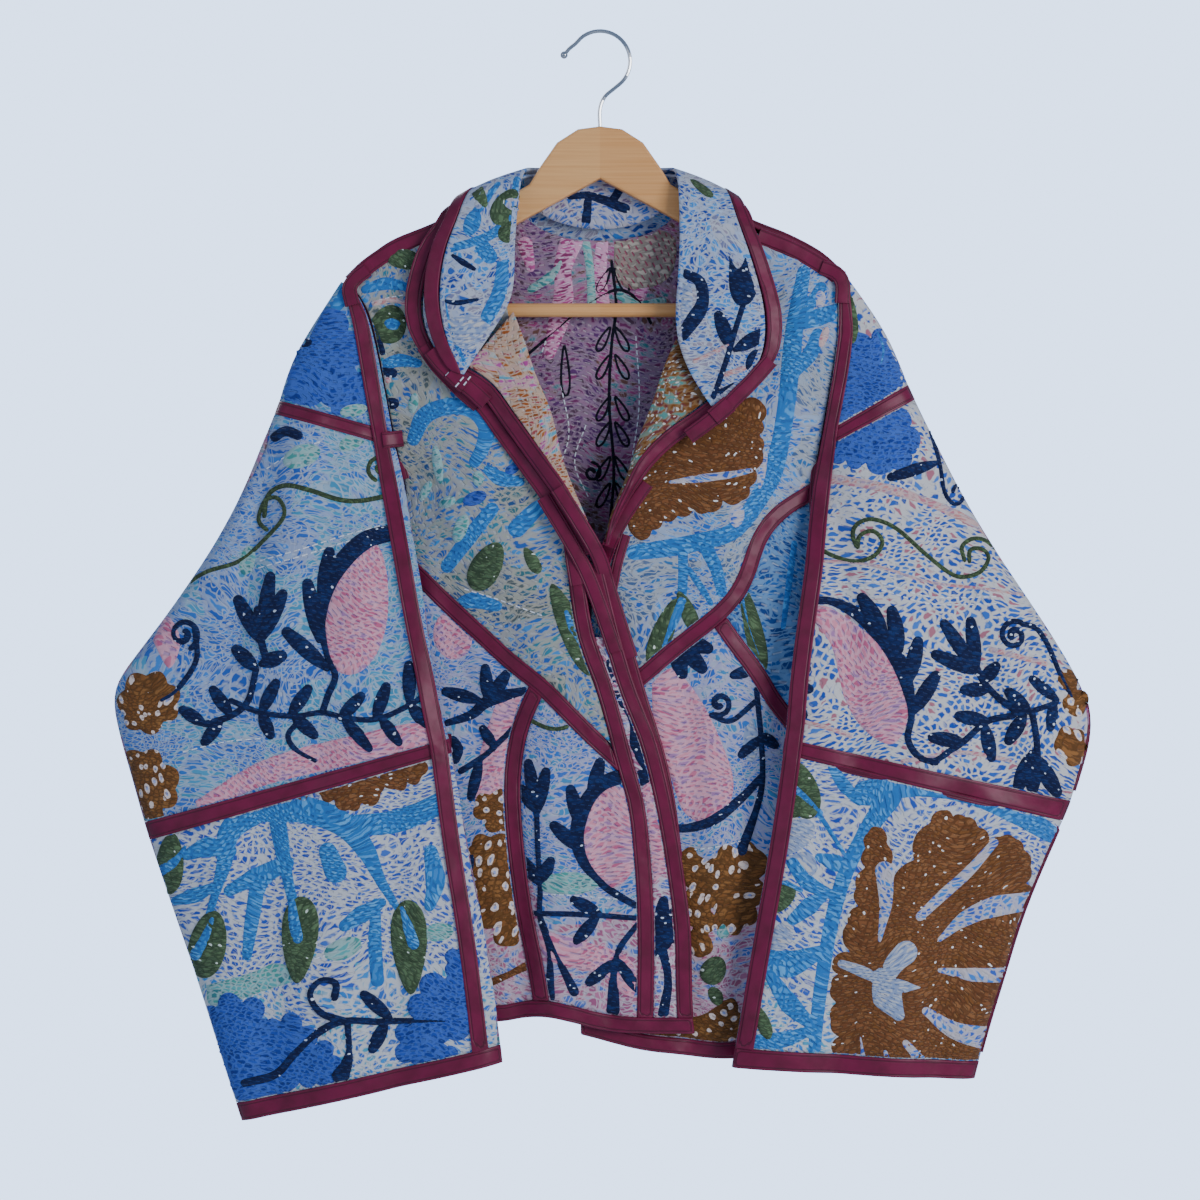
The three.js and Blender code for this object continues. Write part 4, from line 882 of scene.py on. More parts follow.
# Each cloth node: zone, smoothing level, cloth, cloth inside, side that faces out, what holds it.
PANELS = {
    "back": ("back", 3, "rear_cloth", "plum_inside_cloth", REAR, "hanger_wood"),
    "left_front_upper": ("left_front", 3, "grey_lace_cloth", "plum_inside_cloth", FRONT, "hanger_wood"),
    "left_front_side": (
        "left_front", 3, "pink_and_blue_cloth", "plum_inside_cloth", FRONT, "left_front_upper_cloth"),
    "left_front_centre": (
        "left_front", 3, "pink_and_blue_cloth", "plum_inside_cloth", FRONT, "left_front_upper_cloth"),
    "left_front_placket": (
        "left_front", 3, "pink_strip_cloth", "plum_inside_cloth", FRONT, "left_front_upper_cloth"),
    "right_front_upper": ("right_front", 3, "sky_band_cloth", "plum_inside_cloth", FRONT, "hanger_wood"),
    "right_front_gusset": (
        "right_front", 3, "deep_blue_cloth", "plum_inside_cloth", FRONT, "right_front_upper_cloth"),
    "right_front_lower": (
        "right_front", 3, "pink_and_blue_cloth", "plum_inside_cloth", FRONT, "right_front_upper_cloth"),
    "collar_stand": ("collar", 2, "stand_cloth", None, FRONT, "hanger_wood"),
    "collar_under": ("collar", 2, "collar_blue_cloth", None, FRONT, "hanger_wood"),
    "collar": ("collar", 3, "collar_blue_cloth", None, FRONT, "hanger_wood"),
    "left_lapel_under": ("collar", 2, "light_blue_cloth", None, FRONT, "left_front_upper_cloth"),
    "left_lapel": ("collar", 3, "orange_lapel_cloth", None, FRONT, "left_front_upper_cloth"),
    "right_lapel": ("collar", 3, "fleck_lapel_cloth", None, FRONT, "right_front_upper_cloth"),
}
SLEEVE_CLOTHS = {
    "left": ("blue_bloom_cloth", "light_blue_cloth", "cream_and_blue_cloth"),
    "right": ("cream_dash_cloth", "cream_dash_cloth", "cream_and_blue_cloth"),
}
for sleeve, (cap, upper, lower) in SLEEVE_CLOTHS.items():
    for side, facing in (("front", FRONT), ("back", REAR)):
        level = 3 if side == "front" else 2
        above = "hanger_wood"
        for part, cloth in (("cap", cap), ("upper", upper), ("lower", lower)):
            name = f"{sleeve}_sleeve_{part}_{side}"
            PANELS[name] = (f"{sleeve}_sleeve", level, cloth, "plum_inside_cloth", facing, above)
            above = name + "_cloth"

# Each binding, and the panel that it is sewn to.
BINDINGS = {
    "back_hem_binding": "back", "left_shoulder_binding": "left_front_upper",
    "left_diagonal_binding": "left_front_upper", "left_curve_binding": "left_front_side",
    "left_hem_binding": "left_front_side", "placket_binding": "left_front_centre",
    "front_edge_binding": "left_front_placket", "front_under_binding": "left_front_placket",
    "right_shoulder_binding": "right_front_upper", "right_curve_binding": "right_front_upper",
    "right_diagonal_binding": "right_front_gusset", "right_hem_binding": "right_front_lower",
    "collar_under_binding": "collar_under", "collar_binding": "collar",
    "left_lapel_under_binding": "left_lapel_under", "left_lapel_binding": "left_lapel",
    "right_lapel_binding": "right_lapel",
}
for sleeve in ("left", "right"):
    BINDINGS.update({
        f"{sleeve}_sleeve_upper_seam_front": f"{sleeve}_sleeve_cap_front",
        f"{sleeve}_sleeve_upper_seam_back": f"{sleeve}_sleeve_cap_back",
        f"{sleeve}_sleeve_front_binding": f"{sleeve}_sleeve_upper_front",
        f"{sleeve}_sleeve_lower_seam_binding": f"{sleeve}_sleeve_upper_front",
        f"{sleeve}_sleeve_cuff_binding": f"{sleeve}_sleeve_lower_front",
    })


# The needlework, panel by panel, from the lowest layer up.

def left_sleeve_work():
    yield "left_sleeve_cap_front", [
        ("sky", [drop((-226, -227), 46, 22, 30), drop((-258, -295), 30, 14, -20)]),
        ("royal", [
            bloom((-240, -278), 42, 6, 0.25, 10), bloom((-262, -312), 26, 5, 0.3),
            bloom((-217, -312), 24, 5, 0.3, 40), bloom((-255, -244), 14, 5, 0.3)]),
        ("teal", [drop((-211, -326), 26, 12, 80), drop((-270, -259), 20, 9, 15)]),
        ("navy", [drop((-252, -268), 12, 9, 80)]),
    ]
    yield "left_sleeve_upper_front", [
        ("white", [
            *stitches([(-291, -456), (-255, -446), (-221, -435), (-182, -424)]),
            *stitches([(-292, -462), (-255, -452), (-221, -441), (-180, -430)]),
            *stitches([(-287, -377), (-262, -363), (-233, -351)]),
            *stitches([(-355, -618), (-318, -609), (-287, -606)])]),
        ("teal", [
            drop((-255, -366), 34, 20, 70), drop((-212, -353), 26, 14, 60),
            drop((-301, -455), 26, 14, 10)]),
        ("rose", [
            drop((-205, -495), 116, 62, 10, 0.35),
            shape((-343, -659), (-287, -625), (-221, -606), (-150, -592), (-139, -608), (-211, -628),
                (-287, -647), (-335, -669)),
            shape((-382, -523), (-370, -502), (-357, -523), (-366, -547))]),
        ("royal", [drop((-298, -353), 30, 14, 70)]),
        ("spotted_brown", [
            scalloped((-408, -632), (-389, -618), (-371, -628), (-360, -649), (-372, -666), (-382, -681),
                (-394, -659)),
            scalloped((-405, -565), (-386, -553), (-367, -560), (-359, -577), (-371, -592), (-391, -599),
                (-405, -586))]),
        ("vine_green", [
            band([(-360, -479), (-337, -465), (-309, -456), (-287, -438), (-269, -417), (-275, -402),
                (-287, -404), (-292, -421), (-284, -429)], 4),
            band([(-287, -417), (-284, -399), (-269, -391), (-248, -395), (-223, -403), (-204, -404),
                (-180, -399)], 4.5),
            curl((-188, -375), 12, 1.2, 250, 1, 4)]),
        ("navy", [
            band([(-177, -431), (-199, -438), (-218, -456), (-231, -480), (-236, -507), (-231, -535),
                (-224, -553), (-230, -569), (-235, -584)], 14, 17, 16, 12, 8, 6, 6, 6),
            *buds(14, ((-236, -492), (-230, -448)), ((-238, -523), (-248, -475)),
                ((-231, -547), (-265, -516))),
            band([(-313, -574), (-287, -584), (-258, -587), (-235, -584), (-212, -589), (-187, -589),
                (-160, -577), (-150, -570)], 5),
            *buds(12, ((-287, -584), (-274, -559)), ((-262, -586), (-247, -564)),
                ((-220, -589), (-202, -570)), ((-190, -590), (-181, -562)), ((-161, -577), (-162, -544)),
                ((-287, -584), (-279, -603)), ((-260, -586), (-242, -603)), ((-217, -589), (-195, -614)),
                ((-185, -589), (-170, -609)), ((-161, -577), (-147, -594))),
            band([(-255, -592), (-264, -603), (-258, -615), (-241, -625)], 5),
            band([(-282, -540), (-287, -523), (-291, -497)], 7),
            *buds(14, ((-287, -519), (-280, -469)), ((-287, -523), (-269, -484)),
                ((-289, -523), (-308, -489)), ((-287, -543), (-269, -536)), ((-291, -547), (-309, -531))),
            band([(-291, -547), (-298, -574), (-313, -587), (-335, -594)], 6),
            *buds(12, ((-313, -586), (-328, -565)), ((-321, -591), (-335, -609)),
                ((-335, -594), (-354, -582))),
            curl((-355, -518), 14, 1.3, 300, -1, 5),
            band([(-345, -513), (-343, -540), (-359, -565), (-372, -574)], 5),
            band([(-279, -349), (-269, -344), (-258, -348)], 9)]),
    ]
    yield "left_sleeve_lower_front", [
        ("white", stitches([(-287, -807), (-230, -788), (-194, -776), (-139, -761)])),
        ("teal", [
            shape((-335, -816), (-298, -805), (-272, -796), (-255, -808), (-289, -822), (-330, -834)),
            drop((-217, -783), 34, 18, 70), drop((-136, -769), 26, 16, 80)]),
        ("sky", [
            band([(-287, -664), (-250, -666), (-219, -677), (-199, -698), (-184, -728), (-170, -751)], 26,
                24, 22, 18, 10, 6),
            band([(-287, -666), (-313, -684), (-318, -711), (-325, -735), (-335, -766)], 20, 20, 14, 8, 6),
            band([(-274, -669), (-269, -698), (-264, -725), (-257, -754)], 16, 14, 10, 9),
            band([(-264, -711), (-287, -727), (-294, -756), (-299, -790)], 12, 14, 13, 9),
            band([(-275, -713), (-296, -725), (-314, -735)], 10, 15, 10),
            band([(-350, -705), (-332, -698), (-313, -701)], 10, 18, 12),
            band([(-212, -679), (-178, -677), (-153, -669), (-133, -659)], 18, 20, 18),
            band([(-184, -744), (-201, -754), (-216, -764)], 8, 16, 10),
            band([(-189, -744), (-190, -778), (-188, -810)], 8, 12, 12),
            band([(-230, -701), (-223, -718)], 16, 20),
            band([(-143, -701), (-139, -727), (-144, -747)], 12, 18, 10),
            band([(-362, -745), (-343, -739), (-328, -732)], 8, 14, 8)]),
        ("spotted_brown", [scalloped((-257, -640), (-245, -640), (-246, -655), (-256, -657))]),
        ("brown", [
            scalloped((-233, -638), (-211, -632), (-189, -638), (-185, -652), (-202, -660), (-212, -666),
                (-224, -657), (-236, -654)),
            scalloped((-184, -632), (-168, -625), (-150, -623), (-151, -638), (-163, -643), (-173, -649))]),
        ("royal", [
            bloom((-309, -854), 34, 7, 0.28), bloom((-264, -864), 27, 6, 0.3, 20),
            bloom((-287, -898), 34, 7, 0.25, 12), bloom((-240, -881), 23, 6, 0.3),
            bloom((-131, -832), 32, 6, 0.28), bloom((-150, -863), 26, 6, 0.3, 30),
            bloom((-117, -795), 16, 5, 0.3), bloom((-133, -883), 20, 6, 0.3),
            bloom((-306, -917), 18, 5, 0.3)]),
        ("leaf_green", [
            drop((-333, -781), 60, 38, 14, 0.25), drop((-254, -776), 74, 40, 184, 0.45),
            drop((-161, -782), 80, 40, 178, 0.5), drop((-366, -713), 54, 30, 6, 0.3)]),
        ("sky", [
            band([(-328, -759), (-335, -776), (-343, -790)], 6, 10, 12),
            band([(-260, -744), (-258, -761), (-255, -774)], 8, 12, 12),
            band([(-167, -749), (-162, -764), (-157, -779)], 6, 11, 12),
            band([(-374, -720), (-360, -710), (-352, -698)], 11, 10, 3)]),
        ("navy", [
            band([(-301, -898), (-275, -891), (-258, -873), (-238, -854), (-216, -844), (-187, -845),
                (-158, -844), (-131, -844)], 9, 9, 8, 7, 6, 6, 5, 3),
            band([(-216, -844), (-236, -837), (-245, -822), (-236, -810), (-223, -812), (-224, -824)], 7, 6,
                5, 7),
            band([(-213, -846), (-212, -873), (-219, -890)], 6, 5, 16),
            *buds(12, ((-177, -842), (-199, -822)), ((-181, -846), (-192, -868)))]),
    ]


def right_sleeve_work():
    yield "right_sleeve_cap_front", [
        ("royal", [
            bloom((228, -300), 42, 7, 0.25), bloom((250, -270), 20, 5, 0.3), bloom((209, -327), 18, 5, 0.3),
            bloom((252, -302), 16, 5, 0.3)]),
        ("sky", [band([(238, -259), (243, -273), (241, -286)], 3, 4, 3)]),
        ("leaf_green", [drop((214, -244), 52, 17, -6, 0.4)]),
    ]
    yield "right_sleeve_upper_front", [
        ("white", [
            *stitches([(180, -482), (230, -479), (280, -492), (340, -492)], 3.4, 3),
            *stitches([(180, -477), (230, -473), (280, -486), (340, -486)], 3.4, 3)]),
        ("royal", [bloom((243, -351), 32, 7, 0.2), bloom((214, -358), 20, 5, 0.4)]),
        ("coral", [
            band([(185, -383), (211, -387), (241, -393), (277, -404), (316, -421), (333, -433)], 9, 8, 9, 7,
                8, 5),
            band([(182, -455), (230, -459), (277, -473), (316, -478), (362, -484)], 3),
            band([(255, -625), (306, -618), (348, -625)], 4),
            band([(332, -531), (352, -536), (379, -543)], 5),
            band([(170, -591), (196, -598), (212, -604)], 4)]),
        ("rose", [
            shape((173, -497), (192, -494), (219, -511), (245, -535), (260, -565), (258, -596), (245, -611),
                (223, -598), (207, -572), (197, -531), (186, -513))]),
        ("spotted_brown", [
            scalloped((394, -547), (406, -565), (415, -579), (400, -586), (400, -567)),
            scalloped((388, -604), (403, -599), (413, -609), (406, -630), (396, -621))]),
        ("vine_green", [
            band([(178, -439), (196, -450), (216, -456), (233, -451), (240, -439), (232, -430), (221, -434),
                (219, -444)], 4),
            band([(218, -443), (215, -433), (219, -424), (232, -420), (252, -428), (277, -450), (298, -466),
                (311, -469), (325, -464), (332, -452), (326, -445), (316, -446), (315, -456)], 4),
            band([(311, -455), (309, -443), (321, -436), (337, -443), (359, -475)], 4, 4, 3)]),
        ("navy", [
            band([(173, -490), (197, -490), (224, -505), (246, -530), (258, -557), (263, -586), (260, -606),
                (269, -621), (284, -626)], 7, 7, 11, 15, 15, 12, 6, 6, 6),
            *buds(14, ((241, -516), (222, -487)), ((254, -531), (247, -498)), ((261, -558), (269, -524)),
                ((264, -584), (284, -553))),
            band([(281, -626), (306, -610), (328, -592), (352, -585), (337, -571), (325, -557),
                (318, -541)], 6),
            *buds(13, ((318, -547), (292, -509)), ((320, -547), (315, -507)), ((320, -550), (284, -535)),
                ((325, -558), (336, -545)), ((330, -565), (309, -565)), ((330, -592), (304, -587)),
                ((326, -594), (332, -622)), ((308, -609), (281, -605)), ((360, -586), (347, -608)),
                ((364, -584), (347, -567))),
            band([(352, -585), (369, -582), (388, -576)], 5),
            *buds(11, ((389, -574), (367, -556)), ((386, -575), (382, -597))),
            band([(366, -583), (370, -606), (371, -626)], 6), curl((352, -519), 13, 1.4, 60, -1, 5),
            band([(359, -509), (372, -513), (382, -528), (391, -550), (401, -571)], 5, 5, 4),
            *buds(15, ((367, -618), (355, -647)), ((369, -621), (388, -652)), ((368, -621), (367, -649))),
            band([(284, -344), (291, -371), (295, -397), (304, -407), (312, -400), (306, -390),
                (302, -396)], 4),
            bud((289, -371), (248, -384), 11),
            *buds(12, ((163, -547), (175, -547)), ((163, -562), (177, -564)), ((160, -574), (172, -586)))]),
    ]
    yield "right_sleeve_lower_front", [
        ("cream", [
            drop((162, -689), 44, 26, 60), shape((156, -706), (175, -701), (184, -715), (170, -727)),
            drop((153, -773), 30, 18, 30)]),
        ("sky", [
            band([(180, -888), (184, -834), (194, -769), (207, -720), (226, -683), (245, -655)], 11, 12, 13,
                13, 14, 20),
            band([(224, -652), (265, -645), (306, -650), (345, -664), (384, -688)], 22, 20, 20, 22, 16),
            band([(133, -791), (158, -796), (185, -786)], 20, 24, 12),
            band([(162, -759), (177, -747), (194, -735)], 10, 16, 6),
            band([(163, -711), (175, -727), (194, -737)], 12, 14, 8),
            band([(143, -805), (162, -832), (184, -851)], 10, 18, 8),
            band([(134, -863), (158, -859), (180, -851)], 16, 14, 8),
            band([(196, -630), (206, -645), (219, -659)], 8, 12, 8),
            band([(161, -649), (184, -669), (206, -703)], 4, 5, 4),
            band([(185, -706), (199, -711), (211, -715)], 8, 16, 8)]),
        ("brown", [
            scalloped((223, -698), (226, -684), (234, -679), (242, -694), (243, -717), (236, -774),
                (246, -744), (265, -708), (279, -677), (289, -666), (299, -672), (309, -672), (320, -681),
                (330, -691), (326, -700), (340, -689), (352, -691), (360, -701), (366, -715), (362, -730),
                (371, -742), (366, -769), (352, -805), (338, -842), (326, -871), (318, -895), (280, -890),
                (238, -890), (202, -887), (196, -871), (202, -858), (195, -844), (200, -829), (195, -815),
                (201, -805), (196, -795), (211, -786), (209, -761), (218, -747), (216, -732), (224, -715),
                swell=0.22)]),
        ("cornflower", [
            band([(240, -717), (241, -744), (236, -776)], 18, 13, 5),
            band([(334, -694), (311, -720), (289, -739), (270, -756)], 9, 11, 12, 10),
            band([(364, -745), (333, -749), (309, -759), (287, -776)], 18, 20, 15, 6),
            band([(345, -808), (312, -806), (287, -802)], 15, 14, 6),
            band([(330, -862), (299, -853), (275, -836)], 22, 17, 9),
            band([(279, -888), (269, -876), (258, -863)], 14, 10, 8),
            band([(245, -888), (243, -878), (241, -870)], 8, 7, 5),
            band([(223, -885), (222, -871), (220, -858)], 6, 5, 3)]),
        ("cream", [
            band([(241, -810), (248, -796), (258, -786)], 14, 18, 22),
            band([(240, -812), (223, -803), (204, -796)], 8, 12, 9),
            band([(238, -808), (243, -824), (252, -839)], 20, 28, 12),
            band([(243, -813), (257, -815), (270, -816)], 16, 12, 3)]),
        ("leaf_green", [
            drop((170, -649), 52, 32, -20, 0.2), drop((167, -664), 24, 18, 70, 0.2),
            drop((150, -740), 34, 26, 60, 0.2), drop((149, -720), 16, 9, -30, 0.4),
            drop((138, -846), 30, 14, -20, 0.3)]),
        ("sky", [
            band([(161, -645), (175, -657), (187, -669)], 9, 7, 4),
            band([(143, -728), (156, -728), (170, -734)], 3, 5, 4)]),
    ]


def left_front_work():
    yield "left_front_upper", [
        ("white", [
            *stitches([(-117, -479), (-85, -489), (-44, -504)], 3.4, 3.2),
            *stitches([(-197, -234), (-184, -230), (-168, -227)], 3, 3)]),
        ("sky", [
            band([(-160, -351), (-150, -331), (-128, -323), (-107, -327), (-97, -341), (-100, -358),
                (-107, -371)], 12, 16, 15, 15, 16, 14, 11),
            band([(-131, -460), (-110, -433), (-92, -411)], 12, 14, 12),
            band([(-71, -428), (-54, -411), (-37, -402)], 16, 14, 10),
            band([(-187, -288), (-172, -283), (-156, -286)], 10, 12, 8),
            band([(-202, -222), (-184, -217), (-167, -220)], 8, 12, 8),
            band([(-95, -378), (-85, -385), (-68, -388)], 10, 14, 8),
            band([(-126, -497), (-110, -489), (-88, -494)], 10, 15, 10)]),
        ("coral", [
            band([(-194, -234), (-178, -231), (-167, -234)], 5), band([(-187, -295), (-182, -300)], 6),
            drop((-88, -327), 12, 8, 30)]),
        ("teal", [
            drop((-139, -373), 34, 9, -8), drop((-104, -385), 14, 10, 0), drop((-131, -405), 16, 10, 70),
            drop((-119, -428), 26, 13, 20), drop((-150, -395), 20, 8, 30), drop((-160, -320), 18, 9, 10)]),
        ("royal", [drop((-107, -402), 22, 12, 70), drop((-75, -377), 14, 9, 60)]),
        ("leaf_green", [
            drop((-181, -252), 34, 34, 20, 0.2), drop((-168, -196), 18, 34, 10, 0.2),
            drop((-97, -460), 46, 30, 30, 0.25), drop((-24, -514), 86, 26, -24, 0.35),
            drop((-58, -455), 26, 14, -30, 0.4)]),
        ("sky", [drop((-178, -252), 12, 17, 10), band([(-29, -499), (-24, -513), (-17, -526)], 6, 8, 4)]),
        ("navy", [
            band([(-202, -252), (-194, -259), (-187, -276)], 8, 8, 6),
            band([(-192, -295), (-185, -293), (-178, -294)], 9),
            band([(-189, -320), (-182, -320), (-177, -320)], 10),
            band([(-126, -523), (-110, -533), (-94, -530)], 5), bud((-110, -531), (-114, -513), 9)]),
    ]
    yield "left_front_side", [
        ("rose", [
            drop((-126, -519), 42, 34, -10),
            shape((-85, -565), (-66, -574), (-71, -625), (-85, -659), (-107, -659), (-102, -616))]),
        ("spotted_brown", [
            scalloped((-107, -664), (-94, -654), (-75, -659), (-75, -677), (-85, -686), (-99, -677)),
            scalloped((-110, -698), (-94, -691), (-75, -700), (-73, -727), (-68, -752), (-70, -774),
                (-78, -785), (-90, -769), (-104, -757), (-105, -727))]),
        ("brown", [band([(-92, -815), (-76, -808), (-60, -800)], 7, 6, 8)]),
        ("royal", [bloom((-100, -834), 12, 5, 0.3), drop((-105, -795), 22, 12, 0)]),
        ("navy", [
            band([(-131, -594), (-110, -587), (-95, -575), (-60, -565)], 6, 9, 12, 6),
            *buds(12, ((-96, -575), (-98, -547)), ((-94, -574), (-80, -552)), ((-102, -575), (-132, -567))),
            band([(-119, -635), (-100, -623), (-87, -611), (-75, -599)], 6),
            *buds(11, ((-90, -615), (-100, -599)), ((-102, -625), (-110, -657))),
            band([(-117, -715), (-110, -708), (-113, -727), (-117, -732)], 7),
            band([(-117, -740), (-109, -745), (-106, -751)], 10),
            band([(-126, -609), (-121, -616), (-124, -625)], 9)]),
    ]
    yield "left_front_centre", [
        ("white", stitches([(-56, -739), (-24, -740), (22, -744)], 3.2, 3.4)),
        ("teal", [
            drop((-44, -565), 30, 14, 40), drop((-8, -574), 24, 12, 60),
            shape((-51, -723), (-20, -720), (0, -730), (-17, -739), (-48, -737))]),
        ("rose", [
            drop((10, -691), 88, 52, 6),
            shape((-54, -769), (-17, -778), (26, -795), (27, -829), (0, -808), (-44, -795))]),
        ("vine_green", [
            band([(-60, -591), (-44, -598), (-29, -597), (-12, -586), (2, -591), (6, -600)], 4)]),
        ("navy", [
            band([(-54, -669), (-53, -701), (-51, -732), (-51, -759), (-43, -791), (-43, -827)], 5, 5, 5, 5,
                5, 10),
            *buds(12, ((-54, -669), (-61, -628)), ((-54, -671), (-46, -635)), ((-54, -669), (-67, -650)),
                ((-53, -730), (-65, -711)), ((-51, -730), (-42, -711))),
            band([(-51, -759), (-37, -791), (-22, -822)], 5, 5, 9),
            band([(39, -638), (24, -638), (5, -644), (-11, -660), (-19, -686), (-14, -711), (5, -733),
                (34, -751)], 14, 13, 13, 14, 12, 8, 7, 6),
            *buds(13, ((-8, -659), (0, -627)), ((-17, -681), (-25, -650)), ((-17, -701), (-39, -681))),
            band([(-58, -756), (-24, -756), (37, -760)], 5),
            *buds(12, ((0, -756), (-22, -744)), ((-2, -758), (-20, -779))),
            band([(34, -762), (14, -792), (11, -839)], 5, 6, 12),
            *buds(12, ((13, -795), (-9, -814)), ((14, -793), (30, -819)))]),
    ]
    yield "left_front_placket", [
        ("rose", [drop((44, -686), 90, 42, 6)]),
        ("navy", [
            band([(8, -541), (12, -565), (26, -589), (29, -611), (34, -618)], 6, 14, 6, 5, 10),
            band([(34, -621), (41, -632)], 10), band([(31, -642), (41, -638), (53, -640)], 14),
            bloom((53, -774), 14, 4, 0.2), *buds(13, ((51, -771), (54, -745)), ((54, -774), (66, -751))),
            band([(52, -781), (58, -812), (54, -841)], 9, 7, 10), band([(46, -778), (49, -791)], 5)]),
    ]


def right_front_work():
    yield "right_front_upper", [
        ("sky", [
            band([(175, -207), (168, -247), (164, -280), (160, -319), (153, -361), (143, -390), (116, -428),
                (85, -439), (54, -445), (29, -448)], 12, 15, 17, 16, 16, 18, 16, 15, 16, 14),
            band([(190, -220), (180, -235), (169, -251)], 10, 10, 12),
            band([(202, -241), (185, -247), (170, -252)], 14, 16, 12),
            band([(187, -261), (180, -278), (167, -295)], 12, 14, 8),
            band([(88, -439), (99, -462), (104, -482)], 13, 12, 10),
            band([(71, -443), (69, -489), (53, -523)], 9, 9, 7),
            band([(76, -463), (87, -479), (95, -492)], 6, 7, 5)]),
        ("cornflower", [
            drop((117, -417), 22, 14, 10), drop((150, -259), 12, 9, 0), drop((189, -230), 16, 10, 0),
            drop((139, -378), 34, 8, 10)]),
        ("coral", [band([(162, -404), (170, -399), (175, -390)], 5), drop((192, -263), 20, 8, 20)]),
        ("brown", [
            scalloped((31, -383), (58, -360), (83, -337), (109, -324), (121, -319), (139, -320),
                (139, -336), (136, -348), (139, -361), (133, -377), (128, -392), (121, -404), (105, -404),
                (92, -414), (80, -411), (66, -417), (54, -421), (44, -429), (34, -438), (27, -412),
                swell=0.25)]),
        ("cornflower", [band([(60, -388), (85, -385), (110, -382), (129, -378)], 5, 9, 9, 6)]),
        ("leaf_green", [drop((54, -516), 62, 22, 22, 0.3), drop((75, -499), 40, 16, -24, 0.3)]),
        ("sky", [band([(70, -490), (63, -507), (54, -528)], 10, 9, 4)]),
    ]
    yield "right_front_gusset", [
        ("sky", [band([(167, -440), (161, -482), (157, -512)], 6, 6, 5)]),
        ("leaf_green", [drop((131, -513), 78, 20, -14, 0.35)]),
        ("sky", [band([(122, -489), (128, -514), (136, -536)], 4, 3, 2)]),
    ]
    yield "right_front_lower", [
        ("white", stitches([(71, -703), (95, -700), (122, -694)], 3.2, 3.4)),
        ("rose", [
            shape((44, -560), (61, -547), (80, -565), (99, -599), (114, -642), (107, -669), (90, -679),
                (71, -669), (58, -633), (46, -599))]),
        ("cream", [drop((129, -611), 34, 14, 0)]),
        ("spotted_brown", [
            scalloped((99, -706), (116, -701), (134, -701), (136, -727), (133, -751), (122, -768),
                (109, -773), (99, -754)),
            scalloped((73, -701), (83, -706), (87, -734), (94, -754), (92, -774), (85, -795), (80, -769),
                (76, -735)),
            shape((17, -849), (51, -846), (85, -844), (114, -829), (119, -863), (76, -868), (34, -864))]),
        ("teal", [drop((105, -771), 14, 14, 0, 0.5)]),
        ("leaf_green", [drop((97, -805), 26, 24, 30, 0.2), drop((99, -827), 12, 20, 60, 0.2)]),
        ("navy", [
            *buds(15, ((65, -521), (92, -530)), ((66, -523), (87, -547)), ((63, -524), (70, -552)),
                ((61, -523), (51, -545))),
            band([(134, -565), (138, -608), (139, -642), (134, -667), (121, -703)], 5, 5, 5, 6, 10),
            band([(138, -640), (122, -657), (95, -677), (70, -684), (54, -677)], 6, 8, 10, 8, 6),
            curl((102, -577), 11, 1.1, 240, -1, 5), band([(95, -587), (112, -592), (134, -575)], 5),
            *buds(11, ((134, -547), (114, -553)), ((138, -606), (121, -621)), ((138, -604), (150, -613)))]),
    ]


def collar_work():
    yield "collar", [
        ("sky", [
            band([(-136, -191), (-109, -184), (-87, -173), (-75, -153), (-71, -128)], 8, 8, 9, 8, 7),
            drop((-109, -167), 24, 15, 20), band([(-100, -188), (-94, -196)], 14),
            shape((-88, -200), (-73, -201), (-71, -234), (-87, -256), (-102, -249), (-92, -225)),
            band([(-136, -225), (-131, -259), (-117, -290)], 8, 12, 10),
            band([(-87, -132), (-97, -145), (-107, -159)], 5, 8, 8)]),
        ("cream", [
            shape((-136, -252), (-110, -246), (-90, -259), (-99, -278), (-126, -271)),
            band([(-99, -140), (-104, -152)], 8, 8), drop((72, -234), 34, 14, 4)]),
        ("leaf_green", [
            drop((-80, -153), 36, 28, 28, 0.3), drop((-78, -175), 20, 20, 60, 0.3),
            drop((-104, -140), 12, 34, 62, 0.2), drop((87, -136), 26, 10, -50, 0.4)]),
        ("cornflower", [drop((-75, -150), 12, 16, 0)]),
        ("navy", [
            band([(-134, -234), (-121, -236), (-104, -233)], 3, 5, 3),
            band([(-126, -195), (-117, -201), (-107, -207)], 3, 6, 4),
            shape((110, -195), (117, -207), (122, -201), (127, -186), (133, -186), (133, -201), (138, -198),
                (138, -213), (129, -235), (117, -238), (110, -224)),
            band([(122, -237), (115, -259), (108, -283), (99, -309), (92, -326)], 5),
            *buds(13, ((111, -275), (101, -247)), ((115, -276), (141, -261))),
            band([(102, -312), (116, -305), (126, -298)], 5), drop((131, -286), 22, 14, 20),
            band([(71, -210), (85, -218), (87, -237), (78, -252), (70, -264)], 8, 10, 11, 14, 10)]),
        ("coral", [band([(80, -286), (97, -278), (109, -272)], 4), band([(107, -297), (122, -292)], 5)]),
    ]
    yield "collar_stand", [
        ("navy", [
            band([(-26, -140), (-8, -139), (22, -150)], 6, 8, 9), band([(-10, -139), (-12, -161)], 7, 9),
            band([(10, -145), (19, -130)], 8)]),
    ]


